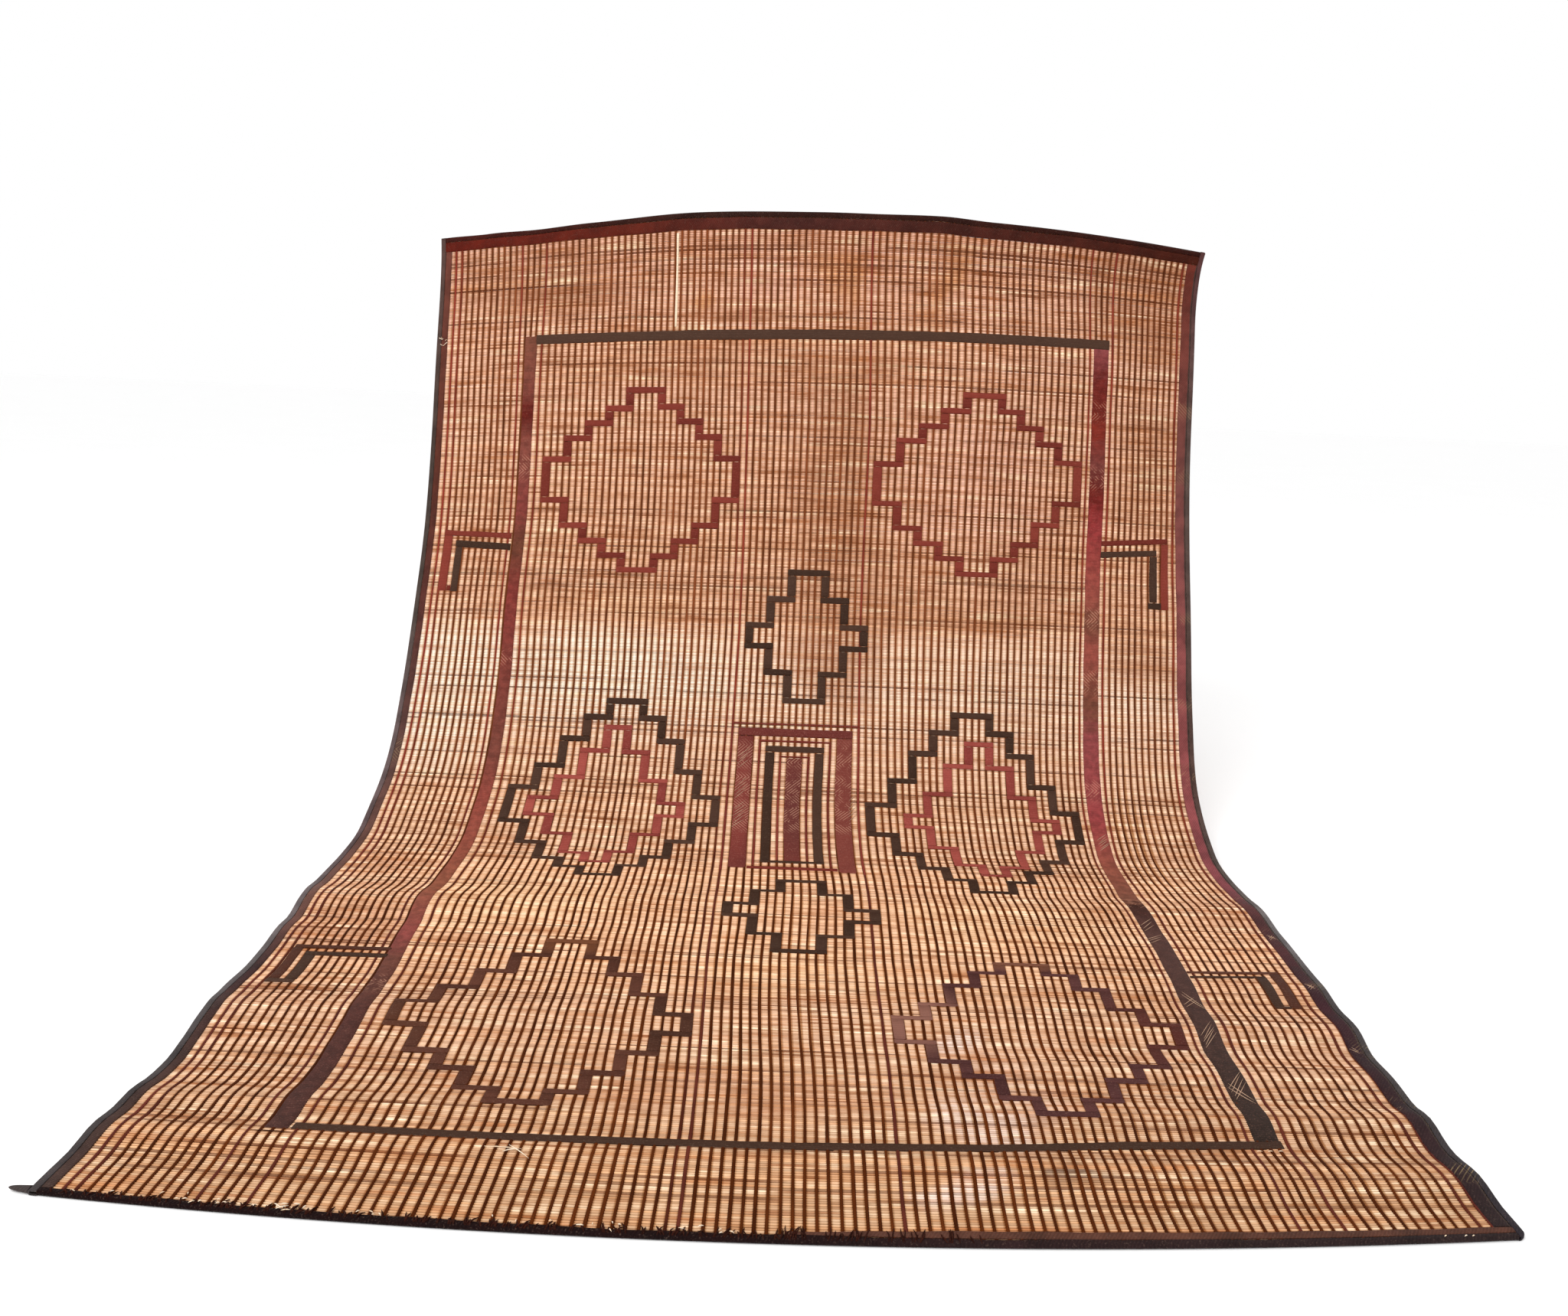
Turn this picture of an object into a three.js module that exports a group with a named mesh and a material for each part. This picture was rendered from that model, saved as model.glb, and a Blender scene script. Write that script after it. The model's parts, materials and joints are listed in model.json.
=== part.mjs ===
// Reed and leather mat, held up by its top edge and sweeping forward onto the floor.
// Millimetres, +Z up. X runs along the reeds, the face looks towards -Y and upwards,
// and the origin is the middle of the top edge.

import * as THREE from 'three';

// Driving sizes of the flat mat.
const WIDTH = 2000;
const LENGTH = 2940; // down the middle, from the top edge to the bottom edge
const SIDE_LENGTH = { left: 2911, right: 2966 }; // handmade, so a little out of square
const BOTTOM_SKEW = 44; // the right bottom corner lies this much further back than the left

// Thicknesses and the widths of the leather strips along the edges.
const FIELD_THICK = 4; // reeds, with the thongs that cross them on both faces
const LEATHER = 1.5;
const EDGING_WIDTH = 12; // black strip folded over each edge
const BOTTOM_EDGING_WIDTH = 8; // narrower along the bottom, where it is worn
const SIDE_BAND = { left: 28, right: 38 }; // edging and facing together, along the sides
const END_BAND = { top: 38, bottom: 20 }; // the same along the top and the bottom
const BOTTOM_FACING = { starts: 900, narrow: 3, fullFrom: 1300 }; // the left half of the bottom has none
const GAP = 0.3; // between pieces that lie against each other

// How steeply the two side edges stand, in degrees from the floor, down the middle line.
const SLOPES = [
  { along: 0, left: 91, right: 125 },
  { along: 80, left: 80, right: 97 },
  { along: 200, left: 73, right: 74 },
  { along: 450, left: 76, right: 77 },
  { along: 700, left: 70, right: 69 },
  { along: 900, left: 60, right: 65 },
  { along: 1100, left: 59, right: 68 },
  { along: 1280, left: 53, right: 60 },
  { along: 1420, left: 38, right: 43 },
  { along: 1540, left: 25, right: 27 },
  { along: 1660, left: 24, right: 17 },
  { along: 1780, left: 0, right: 0 },
  { along: LENGTH, left: 0, right: 0 },
];

// The middle is held higher than the corners: one rise that dies away below the top edge,
// and a gentle one that reaches down to where the mat turns onto the floor.
const ARCH = { top: 60, fade: 220, gentle: 25, reach: 1600 };

// The top edge is held at two places, about a third and two thirds of the way across, and runs almost
// straight from there to the corners. So it is lower than the arch by a drop that soon dies away below it.
const TOP_DROP = [
  { across: 0, drop: 4 },
  { across: 130, drop: 10 },
  { across: 260, drop: 15 },
  { across: 400, drop: 12 },
  { across: 670, drop: 4 },
  { across: 1000, drop: 8 },
  { across: 1140, drop: 9 },
  { across: 1320, drop: 6 },
  { across: 1450, drop: 11 },
  { across: WIDTH, drop: 12 },
];
const TOP_DROP_FADE = 90;

// The bottom edge bows forward in the middle, because the edging holds the sides short, and reaches
// a little further on the left.
const BOTTOM_BOW = { middle: 54, left: 14, fade: 150 };

// Ridges across the part that lies on the floor. Each runs at a slant from the left edge to the
// right edge, falls away over its own reach above and below, and has a height at the left edge,
// in the middle and at the right edge.
const RIDGES = [
  { fromAlong: 1801, toAlong: 1794, above: 65, below: 63, left: 0, middle: 2, right: 3 },
  { fromAlong: 2012, toAlong: 1910, above: 120, below: 102, left: 19, middle: 6, right: 9 },
  { fromAlong: 2147, toAlong: 2121, above: 81, below: 76, left: 7, middle: 3, right: 0 },
  { fromAlong: 2231, toAlong: 2263, above: 78, below: 78, left: 0, middle: 2, right: 6 },
  { fromAlong: 2475, toAlong: 2399, above: 94, below: 90, left: 15, middle: 4, right: 5 },
  { fromAlong: 2552, toAlong: 2559, above: 79, below: 76, left: 5, middle: 4, right: 4 },
  { fromAlong: 2720, toAlong: 2680, above: 55, below: 64, left: 6, middle: 4, right: 9 },
  { fromAlong: 2806, toAlong: 2821, above: 69, below: 66, left: 10, middle: 5, right: 9 },
];

// How far each side edge is drawn in from the full width, down the middle line.
const DRAWN_IN = [
  { along: 0, left: 0, right: 0 },
  { along: 1250, left: 3, right: 0 },
  { along: 1450, left: 5, right: 5 },
  { along: 1640, left: 4, right: 5 },
  { along: 1760, left: -6, right: -7 },
  { along: 1900, left: -6, right: -13 },
  { along: 2030, left: 9, right: -15 },
  { along: 2180, left: 12, right: -12 },
  { along: 2300, left: 16, right: -4 },
  { along: 2380, left: 11, right: -5 },
  { along: 2500, left: 25, right: 7 },
  { along: 2620, left: 30, right: 6 },
  { along: 2760, left: 21, right: 6 },
  { along: LENGTH, left: 10, right: 1 },
];

// The loose end of the edging strip at the left bottom corner.
const TAIL = { length: 32, width: 13, tip: 0.55 };

// Facets of the sheet: across, down the hanging part and along the floor.
const FACETS = { across: 12, hanging: 30, lying: 40 };
const FLOOR_STARTS = 1780;
const SLOPE_STEP = 10; // spacing at which the side edges are worked out

const EDGING_INSIDE = FIELD_THICK / 2 + GAP;
const EDGING_OUTSIDE = EDGING_INSIDE + LEATHER;
const FIELD_MARGIN = LEATHER + GAP; // the field starts this far in from the outer edge

// Shape of the middle layer

function rowsAround(rows, value, key = 'along') {
  const last = rows.length - 1;
  const next = rows.findIndex((row, i) => i === last || (i > 0 && row[key] >= value));
  const a = rows[next - 1];
  const b = rows[next];
  return { a, b, t: (value - a[key]) / (b[key] - a[key]) };
}

function tableValue(rows, along, column) {
  const { a, b, t } = rowsAround(rows, along);
  return THREE.MathUtils.lerp(a[column], b[column], t);
}

// The same, but level at every row, so that the wave has no corners.
function wavyValue(rows, value, column, key) {
  const { a, b, t } = rowsAround(rows, value, key);
  return THREE.MathUtils.lerp(a[column], b[column], THREE.MathUtils.smoothstep(t, 0, 1));
}

// Points of one side edge every SLOPE_STEP, worked up from the bottom edge and listed from the top.
function sideEdge(side, bottomY) {
  const steps = LENGTH / SLOPE_STEP;
  const stepLength = SIDE_LENGTH[side] / steps;
  const points = [{ y: bottomY, z: 0 }];
  for (let i = 0; i < steps; i++) {
    const along = LENGTH - (i + 0.5) * SLOPE_STEP;
    const slope = THREE.MathUtils.degToRad(tableValue(SLOPES, along, side));
    const from = points[i];
    points.push({
      y: from.y + stepLength * Math.cos(slope),
      z: from.z + stepLength * Math.sin(slope),
    });
  }
  return points.reverse();
}

const EDGES = { left: sideEdge('left', 0), right: sideEdge('right', BOTTOM_SKEW) };

function edgePoint(side, along) {
  const points = EDGES[side];
  const place = THREE.MathUtils.clamp(along / SLOPE_STEP, 0, points.length - 1);
  const i = Math.min(Math.floor(place), points.length - 2);
  const a = points[i];
  const b = points[i + 1];
  return { y: THREE.MathUtils.lerp(a.y, b.y, place - i), z: THREE.MathUtils.lerp(a.z, b.z, place - i) };
}

function archHeight(along) {
  const gentle = ARCH.gentle * Math.max(0, 1 - along / ARCH.reach);
  return ARCH.top * Math.exp(-along / ARCH.fade) + gentle;
}

function topDrop(across, along) {
  return wavyValue(TOP_DROP, across, 'drop', 'across') * Math.exp(-along / TOP_DROP_FADE);
}

function ridgeHeight(side, along) {
  return RIDGES.reduce((sum, ridge) => {
    const off = along - THREE.MathUtils.lerp(ridge.fromAlong, ridge.toAlong, (side + 1) / 2);
    const t = Math.min(1, Math.abs(off) / (off < 0 ? ridge.above : ridge.below));
    const towards = side < 0 ? ridge.left : ridge.right;
    const height = THREE.MathUtils.lerp(ridge.middle, towards, Math.abs(side));
    return sum + height * Math.cos((Math.PI / 2) * t) ** 2;
  }, 0);
}

function drawnIn(side, along) {
  return -Math.sign(side) * side * side * wavyValue(DRAWN_IN, along, side < 0 ? 'left' : 'right');
}

// A point of the middle layer: straight reeds from edge to edge, then the arch of the top and its drop,
// the bow of the bottom, the ridges and the pull of the side edges.
function surface(across, along) {
  const side = (2 * across) / WIDTH - 1;
  const left = edgePoint('left', along);
  const right = edgePoint('right', along);
  const share = across / WIDTH;
  const middling = 1 - side * side;
  const reach = BOTTOM_BOW.middle * middling + BOTTOM_BOW.left * (1 - share);
  const bow = reach * Math.exp((along - LENGTH) / BOTTOM_BOW.fade);
  const lift = archHeight(along) * middling - topDrop(across, along) + ridgeHeight(side, along);
  return new THREE.Vector3(
    across - WIDTH / 2 + drawnIn(side, along),
    THREE.MathUtils.lerp(left.y, right.y, share) - bow,
    THREE.MathUtils.lerp(left.z, right.z, share) + lift,
  );
}

function surfaceNormal(across, along) {
  const h = SLOPE_STEP;
  const down = surface(across, Math.min(along + h, LENGTH)).sub(surface(across, Math.max(along - h, 0)));
  const over = surface(Math.min(across + h, WIDTH), along).sub(surface(Math.max(across - h, 0), along));
  return down.cross(over).normalize();
}

// Lines of the shared facets

function evenLines(from, to, count) {
  return Array.from({ length: count + 1 }, (_, i) => THREE.MathUtils.lerp(from, to, i / count));
}

const ACROSS_LINES = [
  0,
  ...evenLines(SIDE_BAND.left + GAP, WIDTH - SIDE_BAND.right - GAP, FACETS.across),
  WIDTH,
];
const ALONG_LINES = [
  0,
  ...evenLines(END_BAND.top + GAP, FLOOR_STARTS, FACETS.hanging),
  ...evenLines(FLOOR_STARTS, LENGTH - END_BAND.bottom - GAP, FACETS.lying).slice(1),
  LENGTH,
];

const ORIGIN = surface(WIDTH / 2, 0);
const KNOTS = ALONG_LINES.map((along) =>
  ACROSS_LINES.map((across) => ({
    place: surface(across, along).sub(ORIGIN),
    normal: surfaceNormal(across, along),
  })),
);

function cell(lines, value) {
  const last = lines.length - 2;
  const found = lines.findIndex((line, i) => i === last || lines[i + 1] > value);
  return { i: found, t: (value - lines[found]) / (lines[found + 1] - lines[found]) };
}

// A point of the faceted sheet, off its middle layer by the given height.
function matPoint(across, along, height) {
  const u = cell(ACROSS_LINES, across);
  const v = cell(ALONG_LINES, along);
  const blend = (key) => {
    const upper = KNOTS[v.i][u.i][key].clone().lerp(KNOTS[v.i][u.i + 1][key], u.t);
    const lower = KNOTS[v.i + 1][u.i][key].clone().lerp(KNOTS[v.i + 1][u.i + 1][key], u.t);
    return upper.lerp(lower, v.t);
  };
  return blend('place').addScaledVector(blend('normal').normalize(), height);
}

// Closed bodies

function closedBody(points, triangles) {
  const volume = triangles.reduce((sum, [a, b, c]) => {
    return sum + points[a].dot(points[b].clone().cross(points[c]));
  }, 0);
  const facing = volume < 0 ? triangles.map(([a, b, c]) => [a, c, b]) : triangles;
  const geometry = new THREE.BufferGeometry().setFromPoints(points);
  geometry.setIndex(facing.flat());
  geometry.computeVertexNormals();
  return geometry;
}

// Carries a closed section from station to station; place(p, q, n) puts a section point down.
function sweep(section, stations, place) {
  const { outline, cap } = section;
  const count = outline.length;
  const points = stations.flatMap((q) => outline.map(([p, n]) => place(p, q, n)));
  const triangles = [];
  for (let i = 0; i < stations.length - 1; i++) {
    for (let k = 0; k < count; k++) {
      const a = i * count + k;
      const b = i * count + ((k + 1) % count);
      triangles.push([a, b, a + count], [b, b + count, a + count]);
    }
  }
  const end = (stations.length - 1) * count;
  for (const [a, b, c] of cap) {
    triangles.push([c, b, a], [end + a, end + b, end + c]);
  }
  return closedBody(points, triangles);
}

// A flat section between two heights, with a point at each position.
function flatSection(positions, low, high) {
  const last = positions.length - 1;
  const top = 2 * last + 1;
  const outline = [...positions.map((p) => [p, low]), ...positions.toReversed().map((p) => [p, high])];
  const cap = [];
  for (let k = 0; k < last; k++) {
    cap.push([k, k + 1, top - k - 1], [k, top - k - 1, top - k]);
  }
  return { outline, cap };
}

// A strip folded over an edge: two legs and the fold between them.
function foldedSection(width) {
  const outline = [
    [0, -EDGING_OUTSIDE],
    [width, -EDGING_OUTSIDE],
    [width, -EDGING_INSIDE],
    [LEATHER, -EDGING_INSIDE],
    [LEATHER, EDGING_INSIDE],
    [width, EDGING_INSIDE],
    [width, EDGING_OUTSIDE],
    [0, EDGING_OUTSIDE],
  ];
  const cap = THREE.ShapeUtils.triangulateShape(outline.map(([x, y]) => new THREE.Vector2(x, y)), []);
  return { outline, cap };
}

// Pieces

const REED = new THREE.MeshStandardMaterial({ color: 0xd6a06a, roughness: 0.6, metalness: 0 });
const BLACK_LEATHER = new THREE.MeshStandardMaterial({ color: 0x2a2523, roughness: 0.55, metalness: 0 });
const RED_LEATHER = new THREE.MeshStandardMaterial({ color: 0x6e2a28, roughness: 0.55, metalness: 0 });

const mat = new THREE.Group();

function addPiece(name, geometry, material) {
  const mesh = new THREE.Mesh(geometry, material.clone());
  mesh.name = name;
  mat.add(mesh);
}

function trimmed(lines, margin) {
  return [margin, ...lines.slice(1, -1), lines.at(-1) - margin];
}

const fromLeft = (p, q, n) => matPoint(p, q, n);
const fromRight = (p, q, n) => matPoint(WIDTH - p, q, n);
const fromTop = (p, q, n) => matPoint(q, p, n);
const fromBottom = (p, q, n) => matPoint(q, LENGTH - p, n);

function addReedField() {
  const section = flatSection(trimmed(ACROSS_LINES, FIELD_MARGIN), -FIELD_THICK / 2, FIELD_THICK / 2);
  addPiece('reed_field', sweep(section, trimmed(ALONG_LINES, FIELD_MARGIN), fromLeft), REED);
}

// The side edgings run the whole length, and the other two butt against them.
function addEdgings() {
  const section = foldedSection(EDGING_WIDTH);
  const between = trimmed(ACROSS_LINES, EDGING_WIDTH + GAP);
  addPiece('edging_left', sweep(section, ALONG_LINES, fromLeft), BLACK_LEATHER);
  addPiece('edging_right', sweep(section, ALONG_LINES, fromRight), BLACK_LEATHER);
  addPiece('edging_top', sweep(section, between, fromTop), BLACK_LEATHER);
  addPiece('edging_bottom', sweep(foldedSection(BOTTOM_EDGING_WIDTH), between, fromBottom), BLACK_LEATHER);
}

// The facings lie on the face beside the edgings. The top one runs from side to side.
function addFacings() {
  const start = EDGING_WIDTH + GAP;
  const facing = (from, to) => flatSection([from, to], EDGING_INSIDE, EDGING_OUTSIDE);
  const down = ALONG_LINES.slice(1, -1);
  const downToEdging = [...down, LENGTH - BOTTOM_EDGING_WIDTH - GAP];
  addPiece('facing_left', sweep(facing(start, SIDE_BAND.left), downToEdging, fromLeft), RED_LEATHER);
  addPiece('facing_right', sweep(facing(start, SIDE_BAND.right), down, fromRight), RED_LEATHER);
  addPiece('facing_top', sweep(facing(start, END_BAND.top), trimmed(ACROSS_LINES, start), fromTop), RED_LEATHER);
  addBottomFacing();
}

// The bottom facing starts near the middle as a narrow strip and widens towards the right corner.
function addBottomFacing() {
  const start = BOTTOM_EDGING_WIDTH + GAP;
  const wide = END_BAND.bottom - start;
  const stations = trimmed(ACROSS_LINES, EDGING_WIDTH + GAP).filter((across) => across > BOTTOM_FACING.starts);
  const width = (across) => {
    const share = THREE.MathUtils.smoothstep(across, BOTTOM_FACING.starts, BOTTOM_FACING.fullFrom);
    return THREE.MathUtils.lerp(BOTTOM_FACING.narrow, wide, share);
  };
  const widening = (p, q, n) => fromBottom(start + p * width(q), q, n);
  const section = flatSection([0, 1], EDGING_INSIDE, EDGING_OUTSIDE);
  addPiece('facing_bottom', sweep(section, stations, widening), RED_LEATHER);
}

function addCornerTail() {
  const middle = LENGTH - TAIL.width / 2;
  const half = TAIL.width / 2;
  const section = flatSection([-half, half], 0, 2 * EDGING_OUTSIDE);
  const taper = (q) => THREE.MathUtils.lerp(1, TAIL.tip, q / TAIL.length);
  const outwards = (p, q, n) => matPoint(-q, middle + p * taper(q), n * taper(q) - EDGING_OUTSIDE);
  addPiece('corner_tail', sweep(section, evenLines(GAP, TAIL.length, 3), outwards), BLACK_LEATHER);
}

addReedField();
addEdgings();
addFacings();
addCornerTail();

export default mat;
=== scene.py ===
# %% [markdown]
# # A reed and leather mat, held up by its top edge
#
# The real mat is a sheet of thin reeds laid side by side. Narrow leather thongs cross them on both
# faces, and wider pieces of dyed leather are worked into the face as bands, stepped diamonds and
# hooks. This lesson builds that surface around a CAD model, which stays as the fixed frame. The frame
# is loaded first. The finished looks may not outgrow it.

import json

import bpy
import numpy as np
from mathutils import Matrix


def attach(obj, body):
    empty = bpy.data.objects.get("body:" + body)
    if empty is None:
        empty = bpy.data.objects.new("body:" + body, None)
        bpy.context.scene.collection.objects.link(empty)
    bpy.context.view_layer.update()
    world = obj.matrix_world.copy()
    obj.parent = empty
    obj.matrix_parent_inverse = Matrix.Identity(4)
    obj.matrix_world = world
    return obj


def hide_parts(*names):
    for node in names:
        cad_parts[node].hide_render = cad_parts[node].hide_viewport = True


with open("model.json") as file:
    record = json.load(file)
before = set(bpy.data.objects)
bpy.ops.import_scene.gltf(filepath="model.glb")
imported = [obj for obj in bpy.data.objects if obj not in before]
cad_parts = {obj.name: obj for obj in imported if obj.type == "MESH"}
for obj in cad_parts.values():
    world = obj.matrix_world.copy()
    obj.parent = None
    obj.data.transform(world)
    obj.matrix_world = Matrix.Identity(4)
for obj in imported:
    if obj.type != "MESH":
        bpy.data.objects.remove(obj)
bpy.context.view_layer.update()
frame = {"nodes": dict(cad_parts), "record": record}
rng = np.random.default_rng(7)
print("nodes in the frame:", sorted(frame["nodes"]))

# %% [markdown]
# ## The camera
#
# A camera could be turned by hand until the outline fits. Here its place and its three turns are
# known, so its matrix is written directly: one column each for right, up and backwards, and one for
# its place. Working with the camera from the start means that every later render can be compared with
# the same view.

# %% Place the camera
CAMERA_PLACE = (-0.028, -3.4654, -0.4214)
CAMERA_PITCH = 0.2193
CAMERA_YAW = -0.0049
CAMERA_ROLL = 0.0461
CAMERA_LENS = 29.0


def camera_matrix(place, pitch, yaw, roll):
    """Forward from yaw and a downward pitch, right and up turned about it by roll, and the place."""
    forward = np.array([np.sin(yaw) * np.cos(pitch), np.cos(yaw) * np.cos(pitch), -np.sin(pitch)])
    level = np.array([np.cos(yaw), -np.sin(yaw), 0.0])
    upright = np.cross(level, forward)
    right = np.cos(roll) * level + np.sin(roll) * upright
    up = np.cos(roll) * upright - np.sin(roll) * level
    matrix = np.eye(4)
    matrix[:3] = np.stack([right, up, -forward, np.array(place)], axis=1)
    return Matrix(matrix.tolist())


camera_data = bpy.data.cameras.new("camera")
camera_data.lens = CAMERA_LENS
camera_data.sensor_width = 36.0
camera_data.sensor_fit = "HORIZONTAL"
camera = bpy.data.objects.new("camera", camera_data)
camera.matrix_world = camera_matrix(CAMERA_PLACE, CAMERA_PITCH, CAMERA_YAW, CAMERA_ROLL)
bpy.context.scene.collection.objects.link(camera)
bpy.context.scene.camera = camera
print("camera at", CAMERA_PLACE)

# %% [markdown]
# ## The shape in which the mat hangs
#
# Everything on the mat follows one curved layer. It could be simulated as cloth, but reeds make it
# stiff one way and soft the other, so it is simpler to say how steep the two side edges stand at each
# place and to rule straight reeds between them. Two numbers name a point: how far across it is and
# how far along, both in millimetres on the flat mat. A third, the height, goes out along the
# surface's normal.

# %% Sizes of the flat mat and of its hang
WIDTH = 2000.0
LENGTH = 2940.0
LEFT_LENGTH = 2911.0
RIGHT_LENGTH = 2966.0
BOTTOM_SKEW = 44.0
MM = 0.001

# Along, then the slopes of the left and right edges in degrees from the floor.
SLOPES = np.array([
    (0, 91, 125), (80, 80, 97), (200, 73, 74), (450, 76, 77), (700, 70, 69), (900, 60, 65), (1100, 59, 68),
    (1280, 53, 60), (1420, 38, 43), (1540, 25, 27), (1660, 24, 17), (1780, 0, 0), (2940, 0, 0),
], float)
# Ridges on the floor: along at the left and right edges, reach above and below, height left, middle, right.
RIDGES = (
    (1801, 1794, 65, 63, 0, 2, 3), (2012, 1910, 120, 102, 19, 6, 9), (2147, 2121, 81, 76, 7, 3, 0),
    (2231, 2263, 78, 78, 0, 2, 6), (2475, 2399, 94, 90, 15, 4, 5), (2552, 2559, 79, 76, 5, 4, 4),
    (2720, 2680, 55, 64, 6, 4, 9), (2806, 2821, 69, 66, 10, 5, 9),
)
# Along, then how far the left and right edges are drawn in.
DRAWN_IN = np.array([
    (0, 0, 0), (1250, 3, 0), (1450, 5, 5), (1640, 4, 5), (1760, -6, -7), (1900, -6, -13), (2030, 9, -15),
    (2180, 12, -12), (2300, 16, -4), (2380, 11, -5), (2500, 25, 7), (2620, 30, 6), (2760, 21, 6),
    (2940, 10, 1),
], float)
# Across, then how much lower the top edge runs there than a smooth arch, being held at two places.
TOP_DROP = np.array([
    (0, 4), (130, 10), (260, 15), (400, 12), (670, 4), (1000, 8), (1140, 9), (1320, 6), (1450, 11),
    (2000, 12),
], float)
TOP_DROP_FADE = 90.0
EDGE_STEP = 10.0
ARCH_TOP = 60.0
ARCH_FADE = 220.0
ARCH_GENTLE = 25.0
ARCH_REACH = 1600.0
BOW_MIDDLE = 54.0
BOW_LEFT = 14.0
BOW_FADE = 150.0
print("flat mat in millimetres:", WIDTH, LENGTH)


# %% The middle layer as a function of two numbers
def side_edge(column, length, start):
    """y and z of a side edge at every step: the sum of short steps, each tilted by its slope."""
    count = int(LENGTH / EDGE_STEP)
    along = LENGTH - (np.arange(count) + 0.5) * EDGE_STEP
    slope = np.radians(np.interp(along, SLOPES[:, 0], SLOPES[:, column]))
    step = length / count
    y = start + np.concatenate([[0.0], np.cumsum(np.cos(slope) * step)])
    z = np.concatenate([[0.0], np.cumsum(np.sin(slope) * step)])
    return y[::-1], z[::-1]


EDGE_ALONG = np.arange(int(LENGTH / EDGE_STEP) + 1) * EDGE_STEP
LEFT_Y, LEFT_Z = side_edge(1, LEFT_LENGTH, 0.0)
RIGHT_Y, RIGHT_Z = side_edge(2, RIGHT_LENGTH, BOTTOM_SKEW)


def eased(along, table, column):
    """A table's column between its rows, eased by 3f^2 - 2f^3."""
    row = np.clip(np.searchsorted(table[:, 0], along, side="right") - 1, 0, len(table) - 2)
    share = np.clip((along - table[row, 0]) / (table[row + 1, 0] - table[row, 0]), 0, 1)
    share = share * share * (3 - 2 * share)
    return table[row, column] + (table[row + 1, column] - table[row, column]) * share


def ridge_height(side, along):
    """Sum of slanting ridges: height(side) * cos^2 of the distance from the crest over its reach."""
    total = np.zeros_like(along)
    for left_at, right_at, above, below, left, middle, right in RIDGES:
        off = along - (left_at + (right_at - left_at) * (side + 1) / 2)
        share = np.minimum(1, np.abs(off) / np.where(off < 0, above, below))
        crest = middle + (np.where(side < 0, left, right) - middle) * np.abs(side)
        total = total + crest * np.cos(np.pi / 2 * share) ** 2
    return total


def middle_layer(across, along):
    """Ruled between the side edges, plus the arch (1 - side^2), its drop, the ridges and the bow."""
    side = 2 * across / WIDTH - 1
    hump = 1 - side**2
    share = across / WIDTH
    left_y, left_z, right_y, right_z = (
        np.interp(along, EDGE_ALONG, edge) for edge in (LEFT_Y, LEFT_Z, RIGHT_Y, RIGHT_Z))
    y = left_y * (1 - share) + right_y * share
    z = left_z * (1 - share) + right_z * share
    arch = ARCH_TOP * np.exp(-along / ARCH_FADE) + ARCH_GENTLE * np.clip(1 - along / ARCH_REACH, 0, None)
    bow = (BOW_MIDDLE * hump + BOW_LEFT * (1 - share)) * np.exp((along - LENGTH) / BOW_FADE)
    drawn = np.where(side < 0, eased(along, DRAWN_IN, 1), eased(along, DRAWN_IN, 2))
    drop = eased(across, TOP_DROP, 1) * np.exp(-along / TOP_DROP_FADE)
    x = across - WIDTH / 2 - np.sign(side) * side**2 * drawn
    return np.stack([x, y - bow, z + arch * hump - drop + ridge_height(side, along)], axis=-1)


TOP_MIDDLE = middle_layer(np.array(WIDTH / 2), np.array(0.0))
NORMAL_STEP = 5.0


def on_mat(across, along, height):
    """A point in metres: middle layer + height * unit normal, which is d/d(along) x d/d(across)."""
    across, along, height = np.broadcast_arrays(*(np.asarray(v, float) for v in (across, along, height)))
    down = middle_layer(across, along + NORMAL_STEP) - middle_layer(across, along - NORMAL_STEP)
    over = middle_layer(across + NORMAL_STEP, along) - middle_layer(across - NORMAL_STEP, along)
    normal = np.cross(down, over)
    normal /= np.linalg.norm(normal, axis=-1, keepdims=True)
    return (middle_layer(across, along) - TOP_MIDDLE + normal * height[..., None]) * MM


WAVE_STARTS = (0, 6.3)


def ripple(places, size, lengths):
    """A soft wave, size * sin(place / length + start), of a random length and start."""
    return size * np.sin(places / rng.uniform(*lengths) + rng.uniform(*WAVE_STARTS))


print("bottom corners:", [on_mat(across, LENGTH, 0).round(3).tolist() for across in (0, WIDTH)])

# %% [markdown]
# ## Tubes: the one shape that makes every piece
#
# Reeds, thongs, bands and edgings are all long things with a closed section. A curve with a bevel
# could make them, but then the section could not change along the way. Here a tube is an array of
# section points, one row for each station along it. Neighbouring rows are joined by quads and the two
# ends are capped. Each tube also lays itself out in a map named OFBake, in one or more rows of its
# own, so that a baked picture gives long thin pieces enough room.


# %% Faces and map of one tube
MAP_MARGIN = 0.04


def tube_faces(stations, around):
    """Quads between neighbouring stations, with the section closed on itself."""
    i, j = np.meshgrid(np.arange(stations - 1), np.arange(around), indexing="ij")
    next_j = (j + 1) % around
    corners = (i * around + j, i * around + next_j, (i + 1) * around + next_j, (i + 1) * around + j)
    return np.stack(corners, axis=-1).reshape(-1, 4)


def tube_map(stations, around, rows, folded):
    """Map places of the quads' corners in units of rows: u runs along a row, v around the section."""
    per_row = int(np.ceil((stations - 1) / rows))
    i, j = np.meshgrid(np.arange(stations - 1), np.arange(around), indexing="ij")
    row = i // per_row
    start = (i - row * per_row) / per_row
    end = start + 1 / per_row
    low = j / around
    high = (j + 1) / around
    if folded:
        low = 1 - np.abs(1 - 2 * low)
        high = 1 - np.abs(1 - 2 * high)
    u = np.stack([start, start, end, end], axis=-1)
    v = np.stack([low, high, high, low], axis=-1) * (1 - 2 * MAP_MARGIN) + MAP_MARGIN + row[..., None]
    return np.stack([u, v], axis=-1).reshape(-1, 4, 2)


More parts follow.
